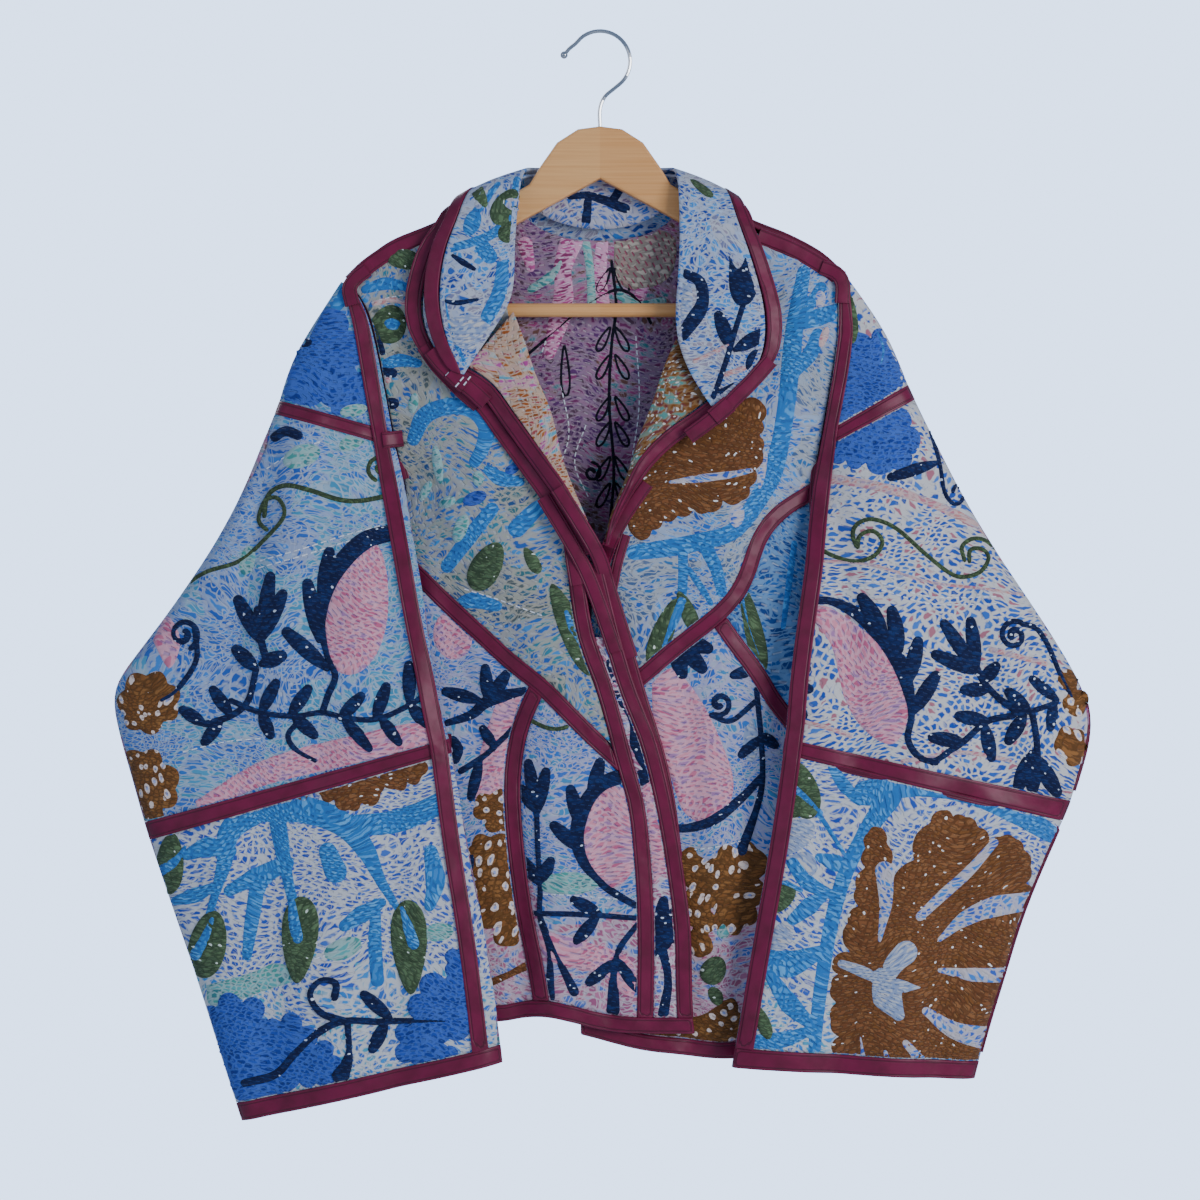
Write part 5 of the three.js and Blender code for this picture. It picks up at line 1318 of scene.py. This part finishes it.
def inside_work():
    """The needlework that shows on the inside of the back, between the fronts."""
    yield "back", [
        ("white", [
            *stitches([(-26, -179), (-37, -234), (-51, -276)], 3.2, 3),
            *stitches([(-12, -336), (-22, -370), (-8, -404)], 3.2, 3),
            *stitches([(31, -259), (34, -319), (26, -378)], 3.2, 3),
            *stitches([(-34, -302), (-27, -344), (-37, -378)], 3.2, 3)]),
        ("magenta", [
            band([(-24, -176), (-32, -201), (-32, -230), (-44, -276)], 20, 15, 20, 10),
            band([(2, -179), (0, -208), (3, -234)], 11, 12, 12),
            band([(39, -176), (42, -201), (34, -227)], 16, 12, 10),
            band([(-65, -181), (-60, -201)], 14, 8)]),
        ("teal", [
            band([(-12, -179), (-8, -208), (-7, -234)], 7, 8, 8),
            band([(-60, -220), (-41, -207), (-34, -196)], 7, 9, 5),
            band([(17, -225), (34, -234), (54, -230)], 8, 10, 8), band([(-78, -259), (-71, -278)], 6)]),
        ("patch", [shape((12, -171), (42, -167), (65, -176), (61, -208), (34, -220), (14, -210))]),
        ("ink", [
            band([(-65, -278), (-37, -254), (-17, -237), (14, -220), (34, -230), (44, -249)], 3),
            band([(10, -195), (14, -234), (10, -268), (8, -319), (12, -378), (7, -438)], 3),
            *[petal_loop(x, z, 24, 9, lean) for z in (-201, -252, -276, -312, -334, -364, -387) for x,
                lean in ((13, 28), (9, -28))],
            petal_loop(-31, -268, 44, 10, 2), curl((-7, -378), 9, 1.2, 90, 1, 3)]),
    ]


def rear_work():
    """The back's own needlework, in the manner of the fronts."""
    yield "back", [
        ("white", [
            *stitches([(-144, -625), (-68, -616), (0, -621)], 4, 4),
            *stitches([(8, -621), (76, -616), (153, -625)], 4, 4),
            *stitches([(-136, -727), (-85, -735), (-60, -732)], 4, 4),
            *stitches([(68, -732), (102, -735), (144, -727)], 4, 4)]),
        ("sky", [
            band([(-150, -268), (-102, -246), (-51, -266), (0, -308), (60, -334), (119, -320), (155, -284)],
                10, 16, 20, 22, 20, 16, 10),
            band([(-60, -264), (-64, -304), (-88, -336), (-124, -344)], 15, 15, 12, 8),
            band([(80, -334), (85, -396), (119, -447), (153, -476)], 16, 16, 13, 8),
            band([(10, -314), (4, -356), (-14, -388)], 14, 12, 8),
            band([(-110, -523), (-51, -548), (8, -547), (76, -523)], 12, 18, 18, 12)]),
        ("teal", [
            drop((-90, -214), 50, 20, 60), drop((34, -288), 44, 18, -50), drop((-102, -710), 60, 24, 10),
            drop((110, -744), 54, 22, -10)]),
        ("rose", [
            drop((0, -468), 120, 66, 0, 0.35), drop((-110, -608), 96, 50, 14, 0.3),
            drop((121, -599), 96, 50, -14, 0.3)]),
        ("royal", [
            bloom((-14, -222), 34, 7, 0.28), bloom((92, -258), 40, 7, 0.28, 20),
            bloom((60, -240), 22, 6, 0.3), bloom((-119, -795), 40, 7, 0.28), bloom((-68, -820), 30, 6, 0.3),
            bloom((119, -795), 40, 7, 0.28, 10), bloom((76, -824), 28, 6, 0.3)]),
        ("brown", [
            scalloped((-34, -659), (-17, -640), (3, -633), (24, -642), (41, -659), (54, -681), (51, -706),
                (61, -730), (48, -754), (29, -766), (3, -759), (-20, -768), (-42, -754), (-53, -730),
                (-42, -708), (-48, -683), swell=0.28)]),
        ("cornflower", [
            band([(3, -744), (3, -701), (3, -659)], 14, 10, 4),
            band([(0, -727), (-20, -701), (-29, -677)], 4, 9, 4),
            band([(7, -727), (27, -701), (36, -677)], 4, 9, 4)]),
        ("leaf_green", [
            drop((-144, -523), 80, 38, 168, 0.45), drop((151, -523), 80, 38, 192, 0.45),
            drop((-46, -591), 70, 34, 190, 0.4), drop((54, -591), 70, 34, 170, 0.4)]),
        ("sky", [
            band([(-146, -494), (-144, -514), (-141, -531)], 6, 10, 11),
            band([(153, -494), (151, -514), (148, -531)], 6, 10, 11),
            band([(-44, -565), (-46, -582), (-48, -599)], 6, 10, 11),
            band([(53, -565), (54, -582), (56, -599)], 6, 10, 11)]),
        ("navy", [
            band([(0, -404), (-29, -421), (-44, -455), (-41, -497), (-17, -531), (2, -565), (3, -625)], 8,
                13, 14, 12, 8, 6, 6),
            *buds(14, ((-37, -429), (-51, -399)), ((-44, -460), (-68, -438)), ((-41, -492), (-66, -485))),
            band([(-136, -659), (-102, -676), (-68, -659), (-34, -642)], 6),
            *buds(13, ((-110, -672), (-119, -645)), ((-85, -669), (-83, -638)),
                ((-97, -676), (-102, -703))),
            band([(143, -659), (109, -676), (76, -659), (41, -642)], 6),
            *buds(13, ((117, -672), (126, -645)), ((92, -669), (90, -638)), ((104, -676), (109, -703))),
            curl((0, -608), 16, 1.3, 90, 1, 5), band([(-144, -387), (-119, -378), (-85, -392)], 6),
            *buds(12, ((-128, -380), (-136, -358)), ((-107, -382), (-104, -356))),
            band([(153, -387), (128, -378), (95, -392)], 6),
            *buds(12, ((136, -380), (144, -358)), ((116, -382), (112, -356)))]),
        ("vine_green", [
            band([(-144, -574), (-110, -565), (-85, -547), (-68, -565), (-78, -579)], 4),
            band([(153, -574), (119, -565), (94, -547), (76, -565), (87, -579)], 4)]),
    ]


# Building, one operator for each piece or group of like pieces

# How strongly the pale room lights the jacket, and how bright it looks.
ROOM_LIGHT = 0.5
ROOM_SEEN = 3.9
# Soft lights: name, place, width of the square in metres, watts.
SOFT_LIGHTS = (
    ("window", (1.9, -2.3, 0.1), 1.3, 45),
    ("fill", (-2.2, -2.4, 0.4), 2.0, 8),
    ("rear", (-1.2, 2.4, 0.6), 2.0, 22),
)
# Half the floor's width, in metres.
FLOOR_HALF = 2.2


class JACKET_OT_stage(bpy.types.Operator):
    """Sets up the camera, the soft lights and the pale floor and surroundings"""
    bl_idname = "jacket.stage"
    bl_label = "Stage"

    def execute(self, context):
        sizes, colours = context.scene.jacket_sizes, context.scene.jacket_colours
        view = bpy.data.cameras.new("photograph")
        view.lens = LENS
        view.sensor_width = SENSOR
        camera = bpy.data.objects.new("photograph", view)
        camera.location = (0, SLEEVE_DEPTH - FRAME_WIDTH * LENS / SENSOR, FRAME_MIDDLE)
        camera.rotation_euler = (math.radians(90), 0, 0)
        context.scene.collection.objects.link(camera)
        context.scene.camera = camera
        world = bpy.data.worlds.new("pale room")
        world.use_nodes = True
        tree = world.node_tree
        # The pale room is bright to look at and lights the cloth more softly.
        seen = add(tree, "LightPath").outputs["Is Camera Ray"]
        power = add(tree, "MapRange", {0: seen, 3: ROOM_LIGHT, 4: ROOM_SEEN})
        background = tree.nodes["Background"]
        background.inputs[0].default_value = colour_of(colours.backdrop)
        tree.links.new(power.outputs[0], background.inputs[1])
        context.scene.world = world
        for name, place, size, power in SOFT_LIGHTS:
            light = bpy.data.lights.new(name, "AREA")
            light.energy = power
            light.size = size
            lamp = bpy.data.objects.new(name, light)
            lamp.location = place
            aim = Vector((0, 0, FRAME_MIDDLE)) - Vector(place)
            lamp.rotation_euler = aim.to_track_quat("-Z", "Y").to_euler()
            context.scene.collection.objects.link(lamp)
            lamp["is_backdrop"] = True
        paint, tree, surface = new_material("matt_floor_paint", 0.8, 0.3)
        surface.inputs["Base Color"].default_value = colour_of(colours.floor)
        ground = bpy.data.meshes.new("floor")
        corners = ((-1, -1), (1, -1), (1, 1), (-1, 1))
        ground.from_pydata([(x * FLOOR_HALF, y * FLOOR_HALF, 0) for x, y in corners], [], [(0, 1, 2, 3)])
        ground.materials.append(paint)
        floor = bpy.data.objects.new("floor", ground)
        floor.location = (0, 0, -sizes.floor_drop)
        context.scene.collection.objects.link(floor)
        floor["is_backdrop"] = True
        return {"FINISHED"}


class JACKET_OT_materials(bpy.types.Operator):
    """Makes the printed cottons, the threads, the satin, the wood and the steel"""
    bl_idname = "jacket.materials"
    bl_label = "Materials"

    def execute(self, context):
        colours = context.scene.jacket_colours
        for name, look in CLOTHS.items():
            cloths[name] = quilted(name, **look)
        for name, look in THREADS.items():
            threads[name] = quilted(name + "_thread", **look)
        cloths["satin"] = satin("satin_bias_binding", colour_of(colours.binding),
                                colour_of(colours.binding_shade))
        light, dark = colour_of(colours.wood_light), colour_of(colours.wood_dark)
        cloths["arms"] = beech("clear_coated_beech_arms", light, dark, 28)
        cloths["bar"] = beech("clear_coated_beech_bar", light, dark, 0)
        # Polished chrome plate on steel wire: a bright mirror with soft reflections.
        steel, tree, surface = new_material("polished_chrome", 0.14, 0.5, metallic=1.0)
        surface.inputs["Base Color"].default_value = colour_of(colours.hook)
        cloths["chrome"] = steel
        return {"FINISHED"}


def make_panels(names):
    """Makes the quilted panels of these names."""
    for name in names:
        zone, level, cloth, inside, facing, _ = PANELS[name]
        lining = cloths[inside] if inside else None
        piece = cloth_from(name, zone, level, cloths[cloth], lining, facing)


class JACKET_OT_body(bpy.types.Operator):
    """Makes the quilted panels of the back and the two fronts"""
    bl_idname = "jacket.body"
    bl_label = "Body panels"

    def execute(self, context):
        make_panels([n for n in PANELS if n == "back" or "_front_" in n and "sleeve" not in n])
        return {"FINISHED"}


class JACKET_OT_sleeves(bpy.types.Operator):
    """Makes the quilted panels of the two sleeves"""
    bl_idname = "jacket.sleeves"
    bl_label = "Sleeve panels"

    def execute(self, context):
        make_panels([n for n in PANELS if "_sleeve_" in n])
        return {"FINISHED"}


class JACKET_OT_collar(bpy.types.Operator):
    """Makes the collar's leaves and stand, and the turned-out lapels"""
    bl_idname = "jacket.collar"
    bl_label = "Collar and lapels"

    def execute(self, context):
        make_panels([n for n in PANELS if "collar" in n or "lapel" in n])
        return {"FINISHED"}


class JACKET_OT_bindings(bpy.types.Operator):
    """Makes the satin bindings along the seams and edges"""
    bl_idname = "jacket.bindings"
    bl_label = "Bindings"

    def execute(self, context):
        roll = context.scene.jacket_sizes.binding_roll / MM
        for name, panel in BINDINGS.items():
            zone, _, _, _, facing, _ = PANELS[panel]
            piece = cloth_from(name, zone, 2, cloths["satin"], None, facing, proud=0.45, rounded=roll)
            homes.setdefault(panel, []).append(name)
        return {"FINISHED"}


# Lengths of binding that carry on from one piece to the next: what each lies over, its name, its
# line, its width and thickness, and how far it stands off. All sizes are in mm.
JOINS = (
    (("left_front_upper",), "left_shoulder_strip",
     [(-139, -172), (-174, -186), (-198, -201), (-214, -216)], 14, 3, 0.6),
    (("right_front_upper",), "right_shoulder_strip",
     [(136, -176), (164, -187), (186, -199), (203, -210)], 14, 3, 0.6),
    (("left_front_upper", "left_sleeve_front_binding"), "left_upper_tail",
     [(-186, -352), (-169, -350)], 14, 2.6, 1.0),
    (("left_front_side",), "left_side_tail", [(-140, -609), (-127, -609)], 12, 2.6, 1.0),
    (("left_front_upper", "placket_binding"), "placket_start",
     [(-25, -438), (-23, -455), (-19.5, -476)], 12.6, 2.4, 0.6),
    (("right_front_upper",), "neck_edge", [(22, -433), (15, -457), (9, -486)], 9, 2.4, 1.2),
    (("collar_under_binding", "left_lapel_under_binding"), "left_under_notch",
     [(-151, -272), (-140, -288), (-128, -301), (-117, -312), (-104, -323)], 12, 2.6, 0.5),
    (("collar_binding", "left_lapel_binding"), "left_notch",
     [(-144, -276), (-136, -286), (-127, -295), (-119, -302), (-109, -310), (-97, -321)], 14.5, 3.2, 1.0),
    (("collar_binding", "right_lapel_binding"), "right_notch",
     [(145, -285), (130, -302), (117, -315), (104, -328), (90, -339), (75, -350)], 13.5, 3.2, 1.0),
    (("right_lapel_binding", "right_front_upper"), "right_lapel_end",
     [(40, -389), (22, -415), (10, -437), (3, -456)], 12.4, 2.8, 1.0),
    (("left_lapel_under_binding", "front_edge_binding", "left_front_upper"), "under_lapel_to_edge",
     [(-48, -401), (-27, -436), (-13, -462), (-3, -486), (6, -512), (13, -533)], 13, 3, 0.9),
    (("left_lapel_binding", "front_under_binding", "front_edge_binding"), "lapel_to_under_edge",
     [(-36, -394), (-18, -422), (-1, -452), (9, -484), (19, -516), (26, -538)], 13, 3, 0.9),
    (("left_shoulder_strip", "left_sleeve_front_binding"), "left_shoulder_corner",
     [(-200, -205), (-210, -213), (-215, -222), (-212, -236)], 13, 3, 0.9),
    (("right_shoulder_strip", "right_sleeve_front_binding"), "right_shoulder_corner",
     [(190, -203), (202, -208), (208, -217), (208, -234)], 13, 3, 0.9),
    (("left_notch",), "left_notch_wrap", [(-127, -294), (-121, -300), (-114, -306)], 16, 2.6, 0.6),
    (("right_notch",), "right_notch_wrap", [(96, -334), (103, -328), (110, -322)], 15.5, 2.6, 0.6),
)
# The gusset's corner, tucked under the two bindings that cross it: the same values as a join's.
GUSSET_CORNER = (("right_curve_binding", "right_diagonal_binding"), "gusset_corner",
                 [(111, -488), (114, -501), (121, -523)], 14, 2, -2.8)
# Seams that lie hidden behind an edge: the ones that close the armholes behind the fronts' edges,
# and the bindings that close the shoulders behind. Each has the panel that it is sewn to, its depth,
# its width and thickness, and its line.
ARMHOLE = (-6.5, 11, 2.4)
REAR_SHOULDER = (9.4, 17, 3.2)
HIDDEN_SEAMS = (
    ("left_armhole_seam", "left_front_upper", *ARMHOLE,
     [(-211, -224), (-198, -250), (-186, -304), (-177, -352), (-169, -385)]),
    ("right_armhole_seam", "right_front_upper", *ARMHOLE,
     [(203, -214), (205, -262), (197, -310), (190, -354), (186, -390), (186, -425)]),
    ("left_rear_shoulder_strip", "back", *REAR_SHOULDER,
     [(-86, -146), (-100, -153), (-130, -168), (-160, -180), (-190, -195), (-211, -213)]),
    ("right_rear_shoulder_strip", "back", *REAR_SHOULDER,
     [(86, -146), (100, -153), (130, -168), (160, -180), (186, -194), (202, -208)]),
)
# Where the bound seam of the right sleeve's outer edge starts, and how far it is moved, in mm.
BOUND_TOP = -574
BOUND_SHIFT = (-1.0, 1.0, 0.0)
# White hand stitches across the left notch, and their width, thickness and lift.
STITCH_SIZE = (1.3, 0.9, 0.3)
NOTCH_STITCHES = (
    [(-131.5, -298), (-128.5, -295)], [(-126.5, -293), (-123.5, -290)], [(-123, -307.5), (-120, -304)],
    [(-119, -302.5), (-116, -299)], [(-116, -306), (-113.5, -303)], [(-112.5, -301.5), (-110, -298.5)],
)


def flat_tube(name, line, wide, thick, cloth, slot):
    """A flat, rounded band along a line of points in metres, its width facing the front."""
    tangent = np.gradient(line, axis=0)
    ring = 16
    vertices, faces, edge = [], [], []
    for i, (p, t) in enumerate(zip(line, tangent)):
        out = np.array((-t[2], 0.0, t[0])) / math.hypot(t[0], t[2])
        for k in range(ring):
            c, s = math.cos(2 * math.pi * k / ring), math.sin(2 * math.pi * k / ring)
            across = math.copysign(abs(c) ** 0.7, c) * wide / 2
            up = math.copysign(abs(s) ** 0.5, s) * thick / 2
            vertices.append(p + out * across * MM + np.array((0.0, up * MM, 0.0)))
            edge.append(wide / 2 - abs(across))
        if i:
            for k in range(ring):
                j = (k + 1) % ring
                faces.append(((i - 1) * ring + k, (i - 1) * ring + j, i * ring + j, i * ring + k))
    last = (len(line) - 1) * ring
    faces += [tuple(range(ring)), tuple(last + k for k in reversed(range(ring)))]
    mesh = bpy.data.meshes.new(name)
    mesh.from_pydata(vertices, [], faces)
    shell = bmesh.new()
    shell.from_mesh(mesh)
    bmesh.ops.recalc_face_normals(shell, faces=shell.faces)
    shell.to_mesh(mesh)
    shell.free()
    layer = mesh.attributes.new("edge_mm", "FLOAT", "POINT")
    layer.data.foreach_set("value", np.array(edge))
    mesh.materials.append(cloth)
    mesh.polygons.foreach_set("use_smooth", np.ones(len(mesh.polygons), bool))
    mesh.set_sharp_from_angle(angle=math.radians(TUBE_SHARP_ANGLE))
    surfaces[name] = BVHTree.FromPolygons([Vector(v) for v in vertices], faces)
    piece = bpy.data.objects.new(name, mesh)
    bpy.context.scene.collection.objects.link(piece)
    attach(piece, "root")
    made[name] = piece


def strip_over(under, name, points, wide, thick, lift, cloth, slot="satin_binding"):
    """A flat tube laid along a line over the front of some pieces."""
    line = curve(points, 3.0)
    depth = []
    for x, z in line:
        hits = [surfaces[n].ray_cast(Vector((x * MM, -1, z * MM)), Vector((0, 1, 0)))[0] for n in under]
        depth.append(min((hit.y for hit in hits if hit), default=math.nan))
    depth = np.array(depth)
    known = np.flatnonzero(~np.isnan(depth))
    if not len(known):
        raise RuntimeError(f"{name} lies over nothing")
    depth = np.interp(np.arange(len(line)), known, depth[known])
    for _ in range(4):
        padded = np.concatenate([depth[:1], depth, depth[-1:]])
        depth = np.minimum(depth, (padded[:-2] + depth + padded[2:]) / 3)
    placed = np.stack([line[:, 0] * MM, depth - lift * MM, line[:, 1] * MM], 1)
    flat_tube(name, placed, wide, thick, cloth, slot)


def outer_edge(panel, top):
    """The line down the right outer edge of a panel, from a height in metres."""
    low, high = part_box(panel)
    points = np.array([v.co for v in made[panel].data.vertices])
    line = []
    for z in np.linspace(min(top, high.z - 0.003), low.z + 0.003, 24):
        near = points[np.abs(points[:, 2] - z) < 0.006]
        line.append(near[near[:, 0].argmax()])
    line = np.array(line)
    line[1:-1] = (line[:-2] + line[1:-1] + line[2:]) / 3
    return line


class JACKET_OT_tails(bpy.types.Operator):
    """Adds the lengths of binding that join others, and the bound seam down the right sleeve"""
    bl_idname = "jacket.tails"
    bl_label = "Binding joins and tails"

    def execute(self, context):
        for name, panel, depth, wide, thick, points in HIDDEN_SEAMS:
            line = [(x * MM, depth * MM, z * MM) for x, z in curve(points, 6.0)]
            flat_tube(name, np.array(line), wide, thick, cloths["satin"], "satin_binding")
            homes.setdefault(panel, []).append(name)
        for under, name, points, wide, thick, lift in JOINS:
            strip_over(under, name, points, wide, thick, lift, cloths["satin"])
            side = "right" if "right" in name or name == "neck_edge" else "left"
            homes.setdefault(f"{side}_front_upper", []).append(name)
        for number, points in enumerate(NOTCH_STITCHES, 1):
            name = f"notch_stitch_{number}"
            strip_over(("left_notch_wrap", "left_notch"), name, points, *STITCH_SIZE, threads["white"],
                       "quilted_cotton")
            homes["left_front_upper"].append(name)
        strip_over(*GUSSET_CORNER, cloths["deep_blue_cloth"], "quilted_cotton")
        homes["right_front_gusset"].append("gusset_corner")
        wide = context.scene.jacket_sizes.bound_edge / MM
        for panel in ("right_sleeve_upper_front", "right_sleeve_lower_front"):
            name = panel + "_bound_seam"
            line = outer_edge(panel, BOUND_TOP * MM) + np.array(BOUND_SHIFT) * MM
            flat_tube(name, line, 0.9 * wide, wide, cloths["satin"], "satin_binding")
            homes.setdefault(panel, []).append(name)
        return {"FINISHED"}


class JACKET_OT_sleeve_work(bpy.types.Operator):
    """Works the thread motifs on both sleeves, front and back"""
    bl_idname = "jacket.sleeve_work"
    bl_label = "Sleeve needlework"

    def execute(self, context):
        for panel, layers in (*left_sleeve_work(), *right_sleeve_work()):
            work(panel, layers)
            work(panel.replace("front", "back"), layers, REAR, margin=9)
        return {"FINISHED"}


class JACKET_OT_front_work(bpy.types.Operator):
    """Works the thread motifs on the two fronts"""
    bl_idname = "jacket.front_work"
    bl_label = "Front needlework"

    def execute(self, context):
        for panel, layers in (*left_front_work(), *right_front_work()):
            work(panel, layers)
        return {"FINISHED"}


class JACKET_OT_collar_work(bpy.types.Operator):
    """Works the thread motifs on the collar and its stand"""
    bl_idname = "jacket.collar_work"
    bl_label = "Collar needlework"

    def execute(self, context):
        for panel, layers in collar_work():
            work(panel, layers, margin=4)
        return {"FINISHED"}


class JACKET_OT_back_work(bpy.types.Operator):
    """Works the thread motifs on the outside and the inside of the back"""
    bl_idname = "jacket.back_work"
    bl_label = "Back needlework"

    def execute(self, context):
        for panel, layers in rear_work():
            work(panel, layers, REAR)
        for panel, layers in inside_work():
            for order, (thread, shapes) in enumerate(layers):
                lay_on(panel, f"inside_{thread}_{order + 1}", flattened(shapes), threads[thread],
                       INSIDE_LIFT + INSIDE_LAYER_STEP * order, domed=thread != "white")
        return {"FINISHED"}


# The middle of the ball on the hook's tip, and how far the wood's edges are eased, in mm.
HOOK_TIP = (-31.0, 0.0, -19.0)
WOOD_EASE = 1.2


class JACKET_OT_hanger(bpy.types.Operator):
    """Finishes the wooden hanger and its hook, and adds the ball on the hook's tip"""
    bl_idname = "jacket.hanger"
    bl_label = "Hanger"

    def execute(self, context):
        for name, material, slot in (("hanger_wood", "arms", "hanger_wood"),
                                     ("hanger_bar", "bar", "hanger_wood"),
                                     ("hanger_hook", "chrome", "hook_wire")):
            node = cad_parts[name]
            node.data.materials.clear()
            node.data.materials.append(cloths[material])
            made[name] = node
        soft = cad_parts["hanger_wood"].modifiers.new("eased edges", "BEVEL")
        soft.width = WOOD_EASE * MM
        soft.segments = 3
        soft.limit_method = "ANGLE"
        soft.angle_limit = math.radians(50)
        ball = bmesh.new()
        bmesh.ops.create_uvsphere(ball, u_segments=24, v_segments=16,
                                  radius=context.scene.jacket_sizes.hook_ball / 2)
        mesh = bpy.data.meshes.new("hook_tip_ball")
        ball.to_mesh(mesh)
        ball.free()
        mesh.transform(Matrix.Translation(Vector(HOOK_TIP) * MM))
        mesh.materials.append(cloths["chrome"])
        mesh.polygons.foreach_set("use_smooth", np.ones(len(mesh.polygons), bool))
        tip = bpy.data.objects.new("hook_tip_ball", mesh)
        context.scene.collection.objects.link(tip)
        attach(tip, "root")
        return {"FINISHED"}


class JACKET_OT_cuts(bpy.types.Operator):
    """Works out the flat cut of each panel from its area and box, and looks up what is sewn to it, but
    keeps none of it
    """
    bl_idname = "jacket.cuts"
    bl_label = "Flat cuts"

    def execute(self, context):
        for name, (_, _, _, _, _, holder) in PANELS.items():
            piece = made[name]
            cut = sum(f.area for f in piece.data.polygons) / 2
            low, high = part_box(name)
            width, length = high.x - low.x, high.z - low.z
            # A slanting strip is narrower than its box, and a curved panel wider.
            width = max(min(width, 2.2 * cut / length), 1.02 * cut / length)
            "folded" if "lapel" in name or "collar" in name else "hung"
            [made[n] for n in homes.get(name, [])]
        return {"FINISHED"}


class JACKET_PT_panel(bpy.types.Panel):
    """Lists the jacket's pieces, sizes and colours"""
    bl_idname = "JACKET_PT_panel"
    bl_label = "Kantha jacket"
    bl_space_type = "VIEW_3D"
    bl_region_type = "UI"
    bl_category = "Jacket"

    def draw(self, context):
        for operator in OPERATORS:
            self.layout.operator(operator.bl_idname)
        for group in (context.scene.jacket_sizes, context.scene.jacket_colours):
            for name in group.__annotations__:
                self.layout.prop(group, name)


OPERATORS = (
    JACKET_OT_stage, JACKET_OT_materials, JACKET_OT_body, JACKET_OT_sleeves, JACKET_OT_collar,
    JACKET_OT_bindings, JACKET_OT_tails, JACKET_OT_sleeve_work, JACKET_OT_front_work,
    JACKET_OT_collar_work, JACKET_OT_back_work, JACKET_OT_hanger, JACKET_OT_cuts,
)
CLASSES = (JacketSizes, JacketColours, *OPERATORS, JACKET_PT_panel)


def register():
    for cls in CLASSES:
        bpy.utils.register_class(cls)
    bpy.types.Scene.jacket_sizes = bpy.props.PointerProperty(type=JacketSizes)
    bpy.types.Scene.jacket_colours = bpy.props.PointerProperty(type=JacketColours)


def unregister():
    del bpy.types.Scene.jacket_colours
    del bpy.types.Scene.jacket_sizes
    for cls in reversed(CLASSES):
        bpy.utils.unregister_class(cls)


def main():
    register()
    jacket = bpy.ops.jacket
    for step in (jacket.stage, jacket.materials, jacket.body, jacket.sleeves, jacket.collar,
                 jacket.bindings, jacket.tails, jacket.sleeve_work, jacket.front_work,
                 jacket.collar_work, jacket.back_work, jacket.hanger, jacket.cuts):
        step()
    boxes = [[list(corner) for corner in box] for box in (cad_box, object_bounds())]


if __name__ == "__main__":
    main()
